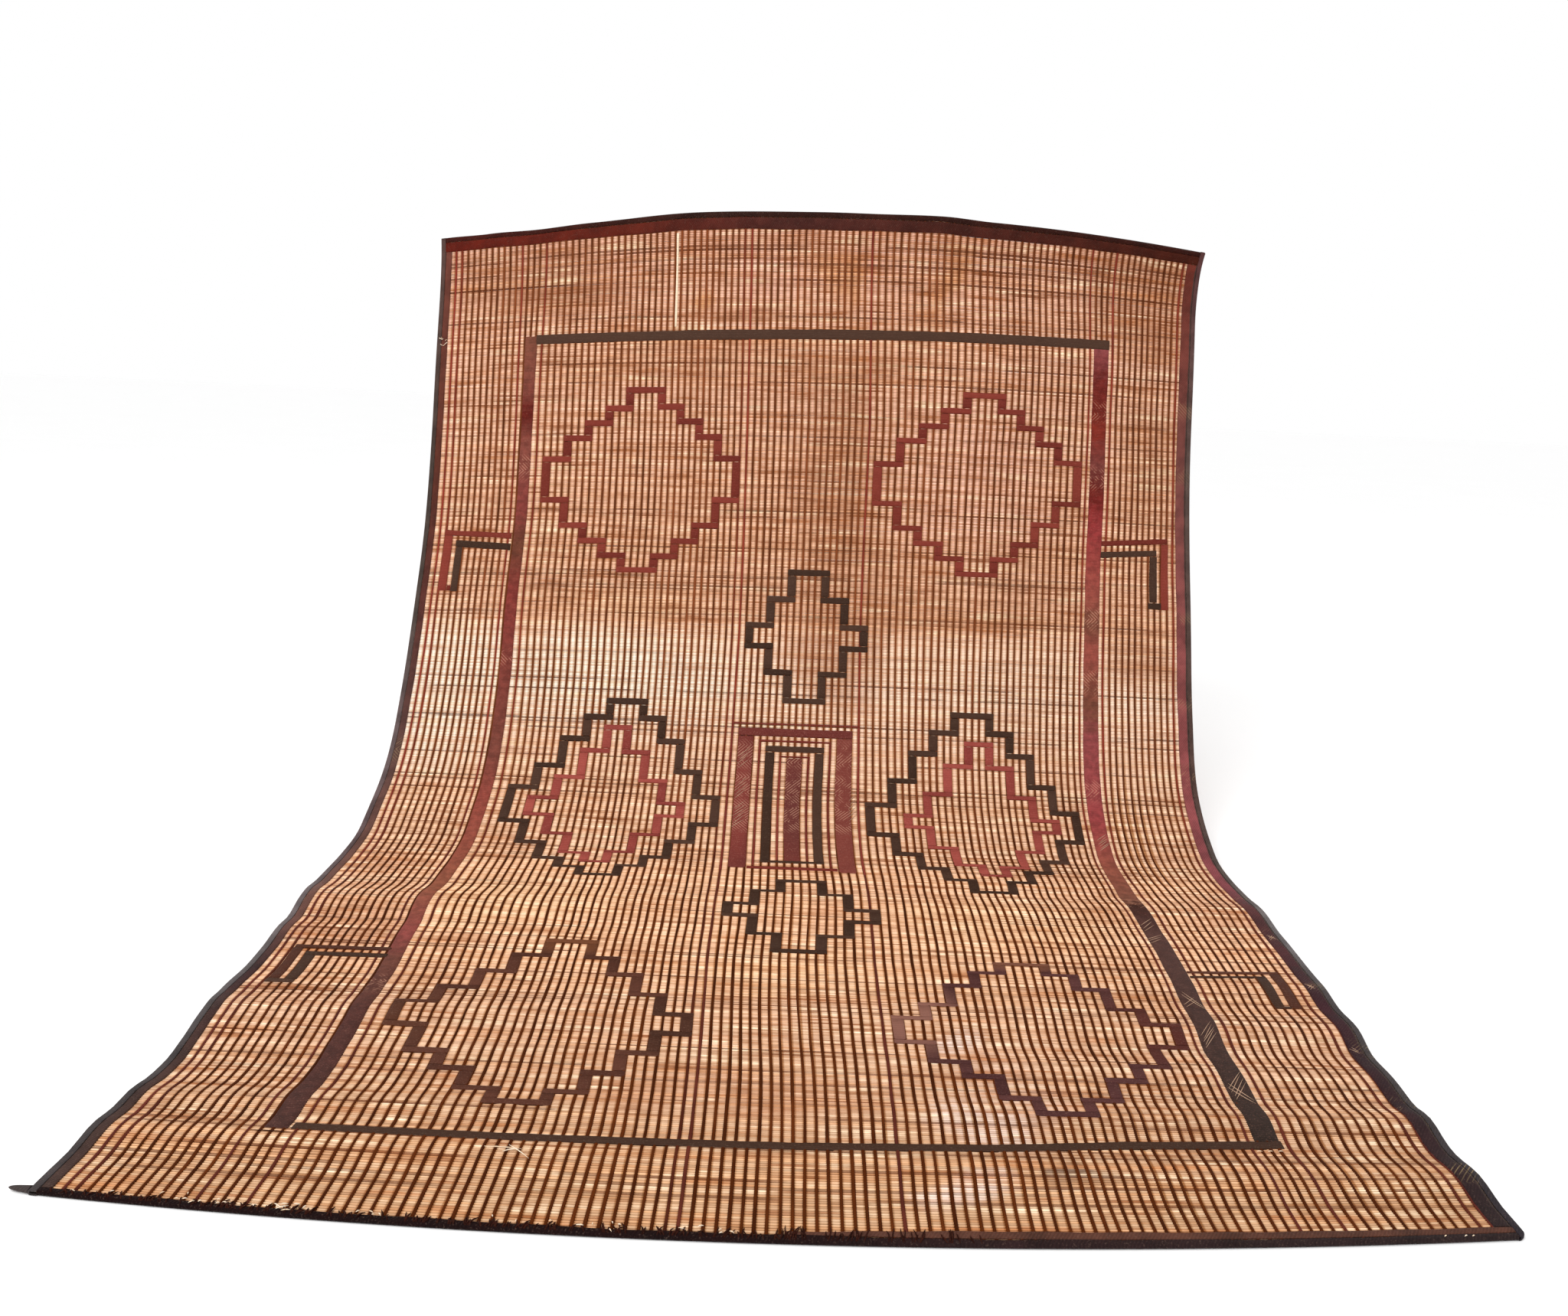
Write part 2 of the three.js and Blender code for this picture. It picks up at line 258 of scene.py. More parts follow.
def cap_map(around, per_row, row):
    """A cap's map places: a small ring inside the first stretch of a row."""
    turn = 2 * np.pi * np.arange(around) / around
    return np.stack([(0.5 + 0.45 * np.cos(turn)) / per_row, row + 0.5 + 0.4 * np.sin(turn)], axis=-1)


def signed_volume(points, quads):
    """Six times the volume inside quads whose corners turn outwards: the sum of a . (b x c)."""
    a, b, c, d = (points[quads[:, n]] for n in range(4))
    return (a * (np.cross(b, c) + np.cross(c, d))).sum()


print("quads of a tube with 3 stations of 4 points:", len(tube_faces(3, 4)))


# %% Put tubes into one mesh
def make_piece(name, tubes, rows=1, folded=False):
    """One object from tubes, each a dict with points (stations, around, 3) and named values per point."""
    points, quads, caps, quad_maps, cap_maps = [], [], [], [], []
    base = 0
    for number, shape in enumerate(tubes):
        stations, around = shape["points"].shape[:2]
        flat = shape["points"].reshape(-1, 3)
        faces = tube_faces(stations, around)
        first = np.arange(around)[::-1]
        last = np.arange(around) + (stations - 1) * around
        uv = tube_map(stations, around, rows, folded)
        if signed_volume(flat - flat.mean(0), faces) < 0:
            faces = faces[:, ::-1]
            uv = uv[:, ::-1]
            first = first[::-1]
            last = last[::-1]
        ring = cap_map(around, int(np.ceil((stations - 1) / rows)), 0)
        points.append(flat)
        quads.append(faces + base)
        caps.extend([first + base, last + base])
        quad_maps.append(uv + (0, number * rows))
        cap_maps.extend([ring + (0, number * rows)] * 2)
        base += len(flat)
    loops = np.concatenate([np.concatenate(quads).ravel(), *caps])
    sizes = np.concatenate([np.full(sum(map(len, quads)), 4), [len(cap) for cap in caps]])
    uv = np.concatenate([np.concatenate(quad_maps).reshape(-1, 2), *cap_maps]) / (1, len(tubes) * rows)
    mesh = bpy.data.meshes.new(name)
    mesh.vertices.add(base)
    mesh.vertices.foreach_set("co", np.concatenate(points).astype(np.float32).ravel())
    mesh.loops.add(len(loops))
    mesh.loops.foreach_set("vertex_index", loops.astype(np.int32))
    mesh.polygons.add(len(sizes))
    starts = np.concatenate([[0], np.cumsum(sizes)[:-1]])
    mesh.polygons.foreach_set("loop_start", starts.astype(np.int32))
    mesh.polygons.foreach_set("use_smooth", sizes == 4)
    mesh.update(calc_edges=True)
    mesh.validate()
    mesh.uv_layers.new(name="OFBake").data.foreach_set("uv", uv.astype(np.float32).ravel())
    for key in [key for key in tubes[0] if key != "points"]:
        parts = [np.asarray(shape[key], np.float32) for shape in tubes]
        values = np.concatenate([part.reshape(part.shape[0] * part.shape[1], -1) for part in parts])
        kind, field = ("FLOAT_VECTOR", "vector") if values.shape[1] == 3 else ("FLOAT", "value")
        mesh.attributes.new(key, kind, "POINT").data.foreach_set(field, values.ravel())
    piece = bpy.data.objects.new(name, mesh)
    bpy.context.scene.collection.objects.link(piece)
    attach(piece, "root")
    return piece


def tube(across, along, height, **values):
    """A tube from section places on the mat, with those places kept as the value named place, in metres."""
    across, along, height = np.broadcast_arrays(across, along, height)
    made = {"points": on_mat(across, along, height)}
    made["place"] = np.stack([across * MM, along * MM, height * MM], axis=-1)
    for key, value in values.items():
        made[key] = np.broadcast_to(value, across.shape)
    return made


print("a tube keeps:", sorted(tube(0.0, 0.0, 0.0)))

# %% [markdown]
# ## Where the thongs run
#
# There are 114 thongs, and the whole pattern is counted on them, as on squared paper. They are not
# quite evenly spaced, and they drift a little down the mat. A short table says where eleven of them
# run at eight levels, and the others are shared out between those. Where the mat is rumpled it adds
# soft bends, listed one by one.

# %% The thong count
THONGS = 114
KEY_THONGS = np.array([0, 11, 14, 16, 28, 46, 66, 81, 96, 100, 113], float)
THONG_LEVELS = np.array([60, 500, 1060, 1500, 1860, 2200, 2600, 2880], float)
# One row for each level: how far across each key thong is.
THONG_ACROSS = np.array([
    (40, 216, 263, 297, 504, 803, 1156, 1442, 1698, 1762, 1969),
    (42, 221, 260, 298, 511, 814, 1170, 1454, 1712, 1768, 1969),
    (42, 224, 263, 302, 517, 822, 1166, 1441, 1700, 1756, 1970),
    (40, 228, 268, 310, 521, 818, 1172, 1435, 1690, 1750, 1966),
    (43, 227, 265, 306, 523, 821, 1183, 1441, 1688, 1746, 1971),
    (38, 222, 264, 303, 529, 824, 1178, 1439, 1690, 1749, 1966),
    (41, 228, 272, 314, 536, 839, 1180, 1429, 1680, 1740, 1963),
    (43, 225, 276, 311, 533, 845, 1175, 1428, 1675, 1736, 1963),
], float)
THONG_WIDTH = 5.2
# Bends: thong and along at the middle, reach in thongs and along, shift at the middle.
BENDS = (
    (88, 300, 24, 260, 6), (104, 660, 16, 260, 5), (20, 960, 30, 240, -4), (61, 1580, 9, 260, -5),
    (104, 1600, 6, 260, -7), (70, 1700, 6, 900, 3), (84, 1760, 22, 120, 6), (14, 2030, 20, 120, -7),
    (88, 2060, 24, 220, 7), (57, 2330, 11, 450, -7), (16, 2400, 22, 270, 6), (86, 2440, 18, 130, -6),
    (36, 2740, 16, 170, 5), (73, 2740, 10, 220, 5), (103, 2780, 8, 180, -6), (88, 2800, 9, 240, -6),
)


def thong_across(thong, along):
    """Straight lines between the table's places, plus shift * (1 - distance^2)^2 for each bend."""
    thong, along = np.broadcast_arrays(np.asarray(thong, float), np.asarray(along, float))
    columns = np.stack([np.interp(along, THONG_LEVELS, column) for column in THONG_ACROSS.T], axis=-1)
    left = np.clip(np.searchsorted(KEY_THONGS, thong, side="right") - 1, 0, len(KEY_THONGS) - 2)
    share = (thong - KEY_THONGS[left]) / (KEY_THONGS[left + 1] - KEY_THONGS[left])
    near = np.take_along_axis(columns, left[..., None], axis=-1)[..., 0]
    far = np.take_along_axis(columns, left[..., None] + 1, axis=-1)[..., 0]
    place = near + (far - near) * share
    for middle, level, reach, reach_along, shift in BENDS:
        distance = np.hypot((thong - middle) / reach, (along - level) / reach_along)
        place = place + shift * np.clip(1 - distance**2, 0, None) ** 2
    return place


thong_gaps = np.diff(thong_across(np.arange(THONGS), LENGTH / 2))
print("mean distance between thongs:", round(float(thong_gaps.mean()), 1))

# %% [markdown]
# ## Finishes as small node trees
#
# A finish is a material whose colour, roughness and bump come from nodes. Adding nodes one by one
# takes many lines, so a small class adds a node, fills or links its inputs and gives back its output.
# Patterns read the values that the tubes carry: place, cell (the count of thongs, with its fraction),
# reed and so on.


# %% A helper for finishes
REEDS = 735
REED_START = 3.0
REED_PITCH = (LENGTH - 2 * REED_START) / REEDS
GRAIN_SCALE = 420.0
HATCH_PITCH = 0.0085
HATCH_TURN = 0.045


def paint(red, green, blue):
    """A colour of 0 to 255 as a screen shows it, turned into the linear numbers that a shader mixes."""
    value = np.array([red, green, blue]) / 255.0
    linear = np.where(value <= 0.04045, value / 12.92, ((value + 0.055) / 1.055) ** 2.4)
    return (*linear.tolist(), 1.0)


class Finish:
    """A material under construction, with its shader at hand."""

    def __init__(self, name, roughness, specular=0.03):
        self.material = bpy.data.materials.new(name)
        self.material.use_nodes = True
        self.tree = self.material.node_tree
        self.shader = self.tree.nodes["Principled BSDF"]
        self.shader.inputs["Roughness"].default_value = roughness
        self.shader.inputs["Specular IOR Level"].default_value = specular

    def add(self, kind, inputs, output=0, **settings):
        """A node with its settings, its inputs filled or linked; returns one of its outputs."""
        node = self.tree.nodes.new(kind)
        for key, value in settings.items():
            setattr(node, key, value)
        for key, value in inputs.items():
            self.put(node.inputs[key], value)
        return node.outputs[output]

    def put(self, socket, value):
        """Links another node's output to a socket, or sets the socket's own value."""
        if isinstance(value, bpy.types.NodeSocket):
            self.tree.links.new(value, socket)
        else:
            socket.default_value = value

    def value(self, name, output="Fac"):
        return self.add("ShaderNodeAttribute", {}, output, attribute_name=name)

    def math(self, operation, *inputs):
        return self.add("ShaderNodeMath", dict(enumerate(inputs)), operation=operation)

    def times(self, first, second):
        return self.math("MULTIPLY", first, second)

    def plus(self, first, second):
        return self.math("ADD", first, second)

    def minus(self, first, second):
        return self.math("SUBTRACT", first, second)

    def over(self, first, second):
        return self.math("DIVIDE", first, second)

    def vector(self, x, y, z=0.0):
        return self.add("ShaderNodeCombineXYZ", {0: x, 1: y, 2: z})

    def split(self, vector):
        node = self.tree.nodes.new("ShaderNodeSeparateXYZ")
        self.put(node.inputs[0], vector)
        return node.outputs

    def white(self, vector):
        return self.add("ShaderNodeTexWhiteNoise", {"Vector": vector}, noise_dimensions="3D")

    def noise(self, vector, scale=1.0, detail=2.0, roughness=0.5):
        inputs = {"Vector": vector, "Scale": scale, "Detail": detail, "Roughness": roughness}
        return self.add("ShaderNodeTexNoise", inputs)

    def grain(self, place):
        """The fine grain of leather."""
        return self.noise(place, GRAIN_SCALE, 2.0, 0.6)

    def streaks(self, across, per_metre, row, detail=3.0, roughness=0.6):
        """Noise drawn out along the reeds: slow across the mat and new from row to row."""
        return self.noise(self.vector(self.times(across, per_metre), row), 1.0, detail, roughness)

    def span(self, value, low, high, to_low=0.0, to_high=1.0):
        """A value stretched from one range to another, smoothly, and held at the ends."""
        inputs = {"Value": value, "From Min": low, "From Max": high, "To Min": to_low, "To Max": to_high}
        return self.add("ShaderNodeMapRange", inputs, interpolation_type="SMOOTHSTEP")

    def mix(self, share, first, second, blend="MIX"):
        inputs = {0: share, 6: first, 7: second}
        return self.add("ShaderNodeMix", inputs, 2, data_type="RGBA", blend_type=blend)

    def toned(self, colour, tone):
        """A colour made lighter or darker by a factor."""
        return self.mix(1.0, colour, self.vector(tone, tone, tone), "MULTIPLY")

    def tones(self, way, reach, rows):
        """A colour ramp over the reach of a way on the mat, from rows of a place and the tone there."""
        node = self.tree.nodes.new("ShaderNodeValToRGB")
        elements = node.color_ramp.elements
        while len(elements) < len(rows):
            elements.new(0.5)
        for element, (at, tone) in zip(elements, rows):
            element.position = at / reach
            element.color = paint(*tone)
        self.put(node.inputs[0], self.over(way, reach * MM))
        return node.outputs[0]

    def bump(self, height, distance, strength=1.0):
        return self.add("ShaderNodeBump", {"Height": height, "Distance": distance, "Strength": strength})

    def scratches(self, colour, place, fleck, pale):
        """Pale slanting hatch over a colour, where the value named scratch says so."""
        across, along, _ = self.split(place)
        slanting = self.plus(across, self.math("PINGPONG", along, HATCH_TURN))
        lines = self.math("SINE", self.times(slanting, 2 * np.pi / HATCH_PITCH))
        mark = self.times(self.span(lines, 0.55, 0.95), self.span(fleck, 0.42, 0.55, 0.0, 0.6))
        return self.mix(self.times(mark, self.value("scratch")), colour, pale)

    def stains(self, colour, place, rows):
        """Soft ovals of other tones, stains and painted shade: the share of each falls from its middle to
        one reach away.
        """
        for middle, reach, tone, strength in rows:
            per_metre = [1 / (MM * value) for value in reach]
            centre = [MM * value * scale for value, scale in zip(middle, per_metre)]
            scaled = self.add("ShaderNodeVectorMath", {0: place, 1: (*per_metre, 0.0)}, operation="MULTIPLY")
            inputs = {0: scaled, 1: (*centre, 0.0)}
            away = self.add("ShaderNodeVectorMath", inputs, "Value", operation="DISTANCE")
            colour = self.mix(self.span(away, 1.0, 0.3, 0.0, strength), colour, paint(*tone))
        return colour

    def reed_wave(self, along):
        """1 on the crown of every reed and -1 between reeds, for leather pressed down onto them."""
        return self.math("SINE", self.times(along, 2 * np.pi / (REED_PITCH * MM)))

    def done(self, colour, roughness, normal):
        """Links the finished colour, roughness and bump to the shader."""
        self.put(self.shader.inputs["Base Color"], colour)
        self.put(self.shader.inputs["Roughness"], roughness)
        self.put(self.shader.inputs["Normal"], normal)
        return self.material


print("from reed to reed:", round(REED_PITCH, 3))

# %% [markdown]
# ## The reeds
#
# Each reed is a stalk about 4 mm wide that runs the whole width of the mat under the edgings.
# Hundreds of them are repeated, so each is a flattened tube with six sides, and its stations sit on
# the key thongs. They are shared out over eight bands, which keeps every mesh and its baked picture
# to a sensible size. Real stalks differ in tone from one to the next and along their length. A painted
# shade darkens them beside the thongs and between neighbouring reeds, and a faint painted highlight
# lies on their crowns.

# %% The reed finish
# Along, then the tone there.
ALONG_TONES = (
    (0, (210, 160, 135)), (300, (230, 185, 160)), (1030, (230, 185, 155)), (1042, (250, 215, 190)),
    (1200, (255, 230, 210)), (1330, (250, 215, 190)), (1460, (240, 200, 170)), (1640, (230, 190, 160)),
    (1790, (235, 190, 155)), (2160, (230, 185, 150)), (2500, (215, 175, 145)), (2900, (195, 155, 120)),
)
CHALKY = (255, 245, 230)
PALE = (250, 222, 200)
STRAW = (238, 198, 157)
ROSY = (228, 180, 163)
DUSTY = (230, 208, 196)
ASHEN = (206, 170, 150)
TAN = (205, 155, 123)
DULL = (189, 138, 108)
RUSTY = (200, 140, 88)
BROWN = (167, 111, 80)
SOOTY = (100, 80, 70)
# Stains, and two patches of painted fold shade: middle across and along, reach across and along,
# colour, strength.
STAINS_AND_FOLD_SHADE = (
    ((250, 150), (330, 120), DULL, 0.6), ((330, 165), (300, 45), BROWN, 0.5),
    ((680, 205), (80, 45), RUSTY, 0.75), ((820, 240), (120, 24), BROWN, 0.6),
    ((880, 150), (130, 80), ROSY, 0.5), ((1880, 150), (240, 260), DULL, 0.75),
    # Painted shade: the two upright rusty patches on the next line stand for the shade of folds that run
    # down from where the top edge is held.
    ((1345, 150), (55, 150), RUSTY, 0.6), ((1050, 160), (60, 110), RUSTY, 0.6),
    ((800, 340), (900, 80), TAN, 0.6), ((1090, 640), (170, 460), DULL, 0.75),
    ((1430, 640), (340, 300), ROSY, 0.5), ((1880, 560), (130, 260), TAN, 0.7),
    ((560, 975), (260, 70), STRAW, 0.3), ((1350, 1000), (420, 60), TAN, 0.7),
    ((1090, 1120), (170, 220), DULL, 0.65), ((520, 1180), (420, 170), CHALKY, 0.85),
    ((100, 1230), (190, 300), CHALKY, 0.7), ((1880, 1100), (160, 120), TAN, 0.7),
    ((1550, 1180), (220, 90), PALE, 0.7), ((680, 1310), (180, 90), PALE, 0.6),
    ((120, 1790), (140, 70), DULL, 0.7), ((120, 1920), (140, 80), TAN, 0.5),
    ((1880, 1900), (140, 120), TAN, 0.6), ((430, 1960), (330, 170), STRAW, 0.6),
    ((1450, 2000), (330, 170), STRAW, 0.5), ((120, 2130), (170, 170), DULL, 0.7),
    ((1000, 2250), (260, 130), STRAW, 0.5), ((900, 2650), (420, 90), DULL, 0.6),
    ((1330, 2640), (120, 190), ASHEN, 0.6), ((1292, 2484), (60, 50), DUSTY, 0.85),
    ((1290, 2716), (90, 60), DUSTY, 0.6), ((1250, 2840), (80, 45), DUSTY, 0.75),
    ((1425, 2832), (60, 36), SOOTY, 0.75),
)
# Tones of single stalks and of streaks along them, and factors for the painted shade beside thongs and
# in the grooves between reeds, and for the faint painted highlight on the reeds' crowns.
ORANGE_STALK = (220, 158, 106)
BLACKENED_STALK = (96, 46, 18)
BROWN_STREAK = (178, 112, 66)
PALE_STREAK = (255, 232, 200)
DARK_STREAK = (142, 80, 40)
UNSHADED = (1.0, 1.0, 1.0, 1.0)
THONG_SHADE = (0.52, 0.36, 0.22, 1.0)
PAINTED_REED_HIGHLIGHT = (1.04, 1.04, 1.04, 1.0)
REED_SHADE = (0.68, 0.6, 0.52, 1.0)
# Where the mat turns onto the floor: start and end of the turn, in metres along.
TURN = (1.3, 1.9)


def stained_and_shaded_tone(finish, place, along):
    """Zone tones down the mat with stains and painted fold shade, whose outlines are shifted about by soft
    noise.
    """
    cloud = finish.add("ShaderNodeTexNoise", {"Vector": place, "Scale": 7.0, "Detail": 3.0}, "Color")
    shift = finish.add("ShaderNodeVectorMath", {0: cloud, 1: (0.5, 0.5, 0.5)}, operation="SUBTRACT")
    inputs = {0: shift, 1: (0.3, 0.12, 0.0), 2: place}
    shifted = finish.add("ShaderNodeVectorMath", inputs, operation="MULTIPLY_ADD")
    return finish.stains(finish.tones(along, LENGTH, ALONG_TONES), shifted, STAINS_AND_FOLD_SHADE)


def near_whole(finish, count):
    """1 where a count is a whole number, falling to 0 halfway between two: 2 * |fraction - 0.5|."""
    return finish.times(finish.math("ABSOLUTE", finish.minus(finish.math("FRACT", count), 0.5)), 2.0)


def stalk_shade(finish, colour, along, cell):
    """Painted brown shade beside the thongs and in the grooves, and a faint painted highlight on the crowns.
    """
    count = finish.over(finish.minus(along, REED_START * MM), REED_PITCH * MM)
    narrow = finish.span(along, *TURN, 0.1, 0.35)
    by_thong = finish.span(near_whole(finish, cell), narrow, 0.82)
    by_reed = finish.span(near_whole(finish, count), 0.5, 1.0)
    beside = finish.mix(by_thong, UNSHADED, THONG_SHADE)
    under = finish.mix(by_reed, PAINTED_REED_HIGHLIGHT, REED_SHADE)
    colour = finish.mix(1.0, colour, beside, "MULTIPLY")
    return finish.mix(1.0, colour, under, "MULTIPLY")


def reed_finish():
    """Zone tone * stalk tone, with streaks of brown, pale and dark along the stalks, and their shade."""
    finish = Finish("split_reed", 0.55, 0.05)
    place = finish.value("place", "Vector")
    across, along, _ = finish.split(place)
    reed = finish.value("reed")
    cell = finish.value("cell")
    own = finish.white(finish.vector(reed, 3.7))
    other = finish.white(finish.vector(reed, 9.1))
    streak = finish.streaks(across, 2.2, finish.times(own, 60.0))
    fine = finish.streaks(across, 8.0, finish.times(other, 80.0))
    patch = finish.streaks(across, 5.0, finish.times(along, 55.0))
    pale_zone = finish.times(finish.span(along, 1.03, 1.06), finish.span(along, 1.5, 1.38))
    lively = finish.minus(1.0, finish.times(pale_zone, 0.5))
    brown = finish.times(finish.span(patch, 0.52, 0.7, 0.0, 0.75), lively)
    dark = finish.times(finish.span(streak, 0.57, 0.66, 0.0, 0.8), lively)
    thin = finish.times(finish.span(other, 0.1, 0.07, 0.0, 0.75), finish.span(streak, 0.42, 0.5))
    colour = stained_and_shaded_tone(finish, place, along)
    colour = finish.mix(finish.span(other, 0.55, 1.0, 0.0, 0.4), colour, paint(*ORANGE_STALK))
    colour = finish.mix(brown, colour, paint(*BROWN_STREAK))
    colour = finish.mix(finish.span(patch, 0.46, 0.3, 0.0, 0.65), colour, paint(*PALE_STREAK))
    colour = finish.mix(dark, colour, paint(*DARK_STREAK))
    colour = finish.mix(thin, colour, paint(*BLACKENED_STALK))
    row = finish.math("FLOOR", finish.times(reed, 0.4))
    mottle = finish.white(finish.vector(finish.math("FLOOR", cell), row, 1.3))
    uneven = finish.plus(finish.span(own, 0.0, 1.0, -0.16, 0.16), finish.span(fine, 0.25, 0.75, -0.26, 0.26))
    uneven = finish.plus(uneven, finish.span(mottle, 0.0, 1.0, -0.1, 0.1))
    uneven = finish.times(uneven, finish.span(along, *TURN, 0.95, 1.2))
    uneven = finish.times(uneven, lively)
    bright = [finish.math("MULTIPLY_ADD", uneven, strength, 1.0) for strength in (0.75, 1.0, 1.2)]
    colour = finish.mix(1.0, colour, finish.vector(*bright), "MULTIPLY")
    colour = stalk_shade(finish, colour, along, cell)
    fibre = finish.vector(finish.times(across, 25.0), finish.times(along, 1400.0), own)
    grain = finish.noise(fibre, 1.0, 2.0)
    rough = finish.span(grain, 0.3, 0.7, 0.45, 0.68)
    return finish.done(colour, rough, finish.bump(grain, 0.0004, 0.5))


reed_material = reed_finish()
print("nodes in the reed finish:", len(reed_material.node_tree.nodes))

# %% Lay the reeds
REED_BANDS = 8
REED_HALF_HIGH = 1.7
REED_HALF_WIDE = REED_PITCH * 0.54
REED_WANDER = 0.25
REED_END_ACROSS = 4.0
REED_STATIONS = np.union1d(np.union1d(KEY_THONGS, np.arange(5, 112, 8)), (-2, 115))
REED_SIDES = 6


def reed_tubes(numbers):
    """Stalks: a six-sided oval carried across, a little uneven in thickness and never quite straight."""
    turn = 2 * np.pi * np.arange(REED_SIDES) / REED_SIDES
    tubes = []
    for number in numbers:
        middle = REED_START + (number + 0.5) * REED_PITCH
        across = thong_across(REED_STATIONS, middle)
        across[[0, -1]] = (REED_END_ACROSS, WIDTH - REED_END_ACROSS)
        wander = ripple(across, REED_WANDER, (180, 420))
        thick = rng.uniform(0.9, 1.08)
        along = middle + wander[:, None] + REED_HALF_WIDE * np.cos(turn)
        height = REED_HALF_HIGH * thick * np.sin(turn)
        tubes.append(tube(across[:, None], along, height[None], reed=number, cell=REED_STATIONS[:, None]))
    return tubes


for band, numbers in enumerate(np.array_split(np.arange(REEDS), REED_BANDS)):
    piece = make_piece(f"reeds_{band + 1}", reed_tubes(numbers), folded=True)
    piece.data.materials.append(reed_material)
    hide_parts("reed_field")

# %% [markdown]
# ## The thongs
#
# A thong is a narrow strip of brown leather that lies across the reeds on the face, with another on
# the back. A strip could be a flat ribbon, but a closed section with a low crown catches the light
# along its middle as leather does. Beside the bands and the edges the thongs are dyed red.

# %% The thong finish
def thong_finish():
    """Brown leather, each thong a little different, red where its value says so, dented at every reed."""
    finish = Finish("thong_leather", 0.6, 0.02)
    place = finish.value("place", "Vector")
    across, along, _ = finish.split(place)
    number = finish.value("thong")
    red = finish.value("red")
    own = finish.white(finish.vector(number, 2.3))
    patch = finish.noise(finish.vector(number, finish.times(along, 9.0)), 1.0, 3.0, 0.6)
    upper = finish.mix(own, paint(92, 46, 22), paint(118, 62, 34))
    lower = finish.mix(own, paint(62, 25, 5), paint(86, 39, 11))
    floor_share = finish.span(along, *TURN)
    upper = finish.mix(finish.span(across, 1.1, 1.9, 0.0, 0.35), upper, paint(76, 34, 20))
    colour = finish.mix(floor_share, upper, lower)
    red_tone = finish.mix(floor_share, paint(130, 50, 40), paint(92, 42, 34))
    colour = finish.mix(red, colour, red_tone)
    dark = finish.span(patch, 0.35, 0.65, 0.75, 1.2)
    colour = finish.toned(colour, dark)
    rough = finish.span(patch, 0.3, 0.7, 0.42, 0.66)
    return finish.done(colour, rough, finish.bump(finish.reed_wave(along), 0.0004, 0.5))


thong_material = thong_finish()
print("nodes in the thong finish:", len(thong_material.node_tree.nodes))

# %% Lay the thongs
THONG_STATIONS = 147
THONG_ENDS = (8.0, 2932.0)
THONG_GROUPS = 4
# Across and height of the section's points, in half widths and millimetres.
FACE_SECTION = np.array([(-1, 1.0), (-0.7, 2.35), (0, 2.65), (0.7, 2.35), (1, 1.0)])
BACK_SECTION = np.array([(-1, -1.0), (-0.6, -2.4), (0.6, -2.4), (1, -1.0)])
# How red a thong is, for those that are not brown.
RED_THONGS = {0: 0.9, 1: 0.5, 11: 0.7, 15: 0.6, 46: 0.3, 47: 0.7, 65: 0.7, 97: 0.7, 101: 0.7, 112: 0.6,
              113: 0.9}
THONG_DRIFT = 0.7
THONG_UNEVEN = 0.08


def thong_tubes(numbers):
    """Strips: a crowned section carried down the mat, with a small drift and width of their own."""
    along = np.linspace(*THONG_ENDS, THONG_STATIONS)
    tubes = []
    for number in numbers:
        drift = ripple(along, THONG_DRIFT, (60, 140))
        half = THONG_WIDTH / 2 * rng.uniform(0.86, 1.14)
        half = half * (1 + ripple(along, THONG_UNEVEN, (30, 70)))
        middle = thong_across(number, along) + drift
        red = RED_THONGS.get(int(number), 0.0)
        for section in (FACE_SECTION, BACK_SECTION):
            across = middle[:, None] + half[:, None] * section[:, 0]
            tubes.append(tube(across, along[:, None], section[None, :, 1], thong=number, red=red))
    return tubes


for group, numbers in enumerate(np.array_split(np.arange(THONGS), THONG_GROUPS)):
    piece = make_piece(f"thongs_{group + 1}", thong_tubes(numbers), rows=1)
    piece.data.materials.append(thong_material)

# %% [markdown]
# ## The worked leather of the pattern
#
# The bands, diamonds and hooks are wider strips of dyed leather worked over the reeds and thongs.
# They could be painted in the reed material, but they stand proud of the reeds, so each is a low pad
# with rounded shoulders. A pad that runs across lies over a few reeds; one that runs along covers the
# gap between two thongs and the thongs as well. Every pad ends where the next begins, so none of them
# overlap.

# %% Pads that run across and along
PAD_BASE = 0.9
PAD_SHOULDER = 2.75
PAD_TOP = 3.2
PAD_SECTION = np.array([(-1, PAD_BASE), (-0.9, PAD_SHOULDER), (-0.45, PAD_TOP), (0.45, PAD_TOP),
                        (0.9, PAD_SHOULDER), (1, PAD_BASE)])
PAD_END_INSET = 1.2
PAD_STEP_ACROSS = 8.0
PAD_STEP_ALONG = 16.0
PAD_UNEVEN = 0.35
PAD_DENT = 0.16
pad_count = 0


def pad_heights(stations):
    """The section's heights at each station, let down at the two ends so that the pad has round ends."""
    let_down = np.ones(stations)
    let_down[[0, -1]] = 0.0
    return PAD_BASE + (PAD_SECTION[:, 1] - PAD_BASE) * let_down[:, None]


def with_ends(start, end, step):
    """Places from start to end, evenly spaced, with one more just inside each end for a rounded shoulder."""
    count = max(2, int((end - start) / step) + 1)
    inner = np.linspace(start + PAD_END_INSET, end - PAD_END_INSET, count)
    return np.concatenate([[start], inner, [end]])


def cell_at(across, along):
    """The thong count at a place: the thongs' own places read backwards."""
    counts = np.arange(-3, THONGS + 3)
    return np.interp(across, thong_across(counts, float(np.mean(along))), counts)


def across_pad(start, end, level, tall):
    """A pad along the reeds: the section, as tall as asked, carried from one place across to another."""
    global pad_count
    pad_count += 1
    across = with_ends(start, end, PAD_STEP_ACROSS)
    middle = np.interp(across, *np.transpose(level)) if np.ndim(level) else np.full(len(across), level)
    half = tall / 2 + ripple(across, PAD_UNEVEN, (9, 16))
    along = middle[:, None] + half[:, None] * PAD_SECTION[:, 0]
    cell = cell_at(across, middle)
    height = pad_heights(len(across)) + PAD_DENT * np.cos(2 * np.pi * cell)[:, None]
    return tube(across[:, None], along, height, pad=pad_count, cell=cell[:, None])


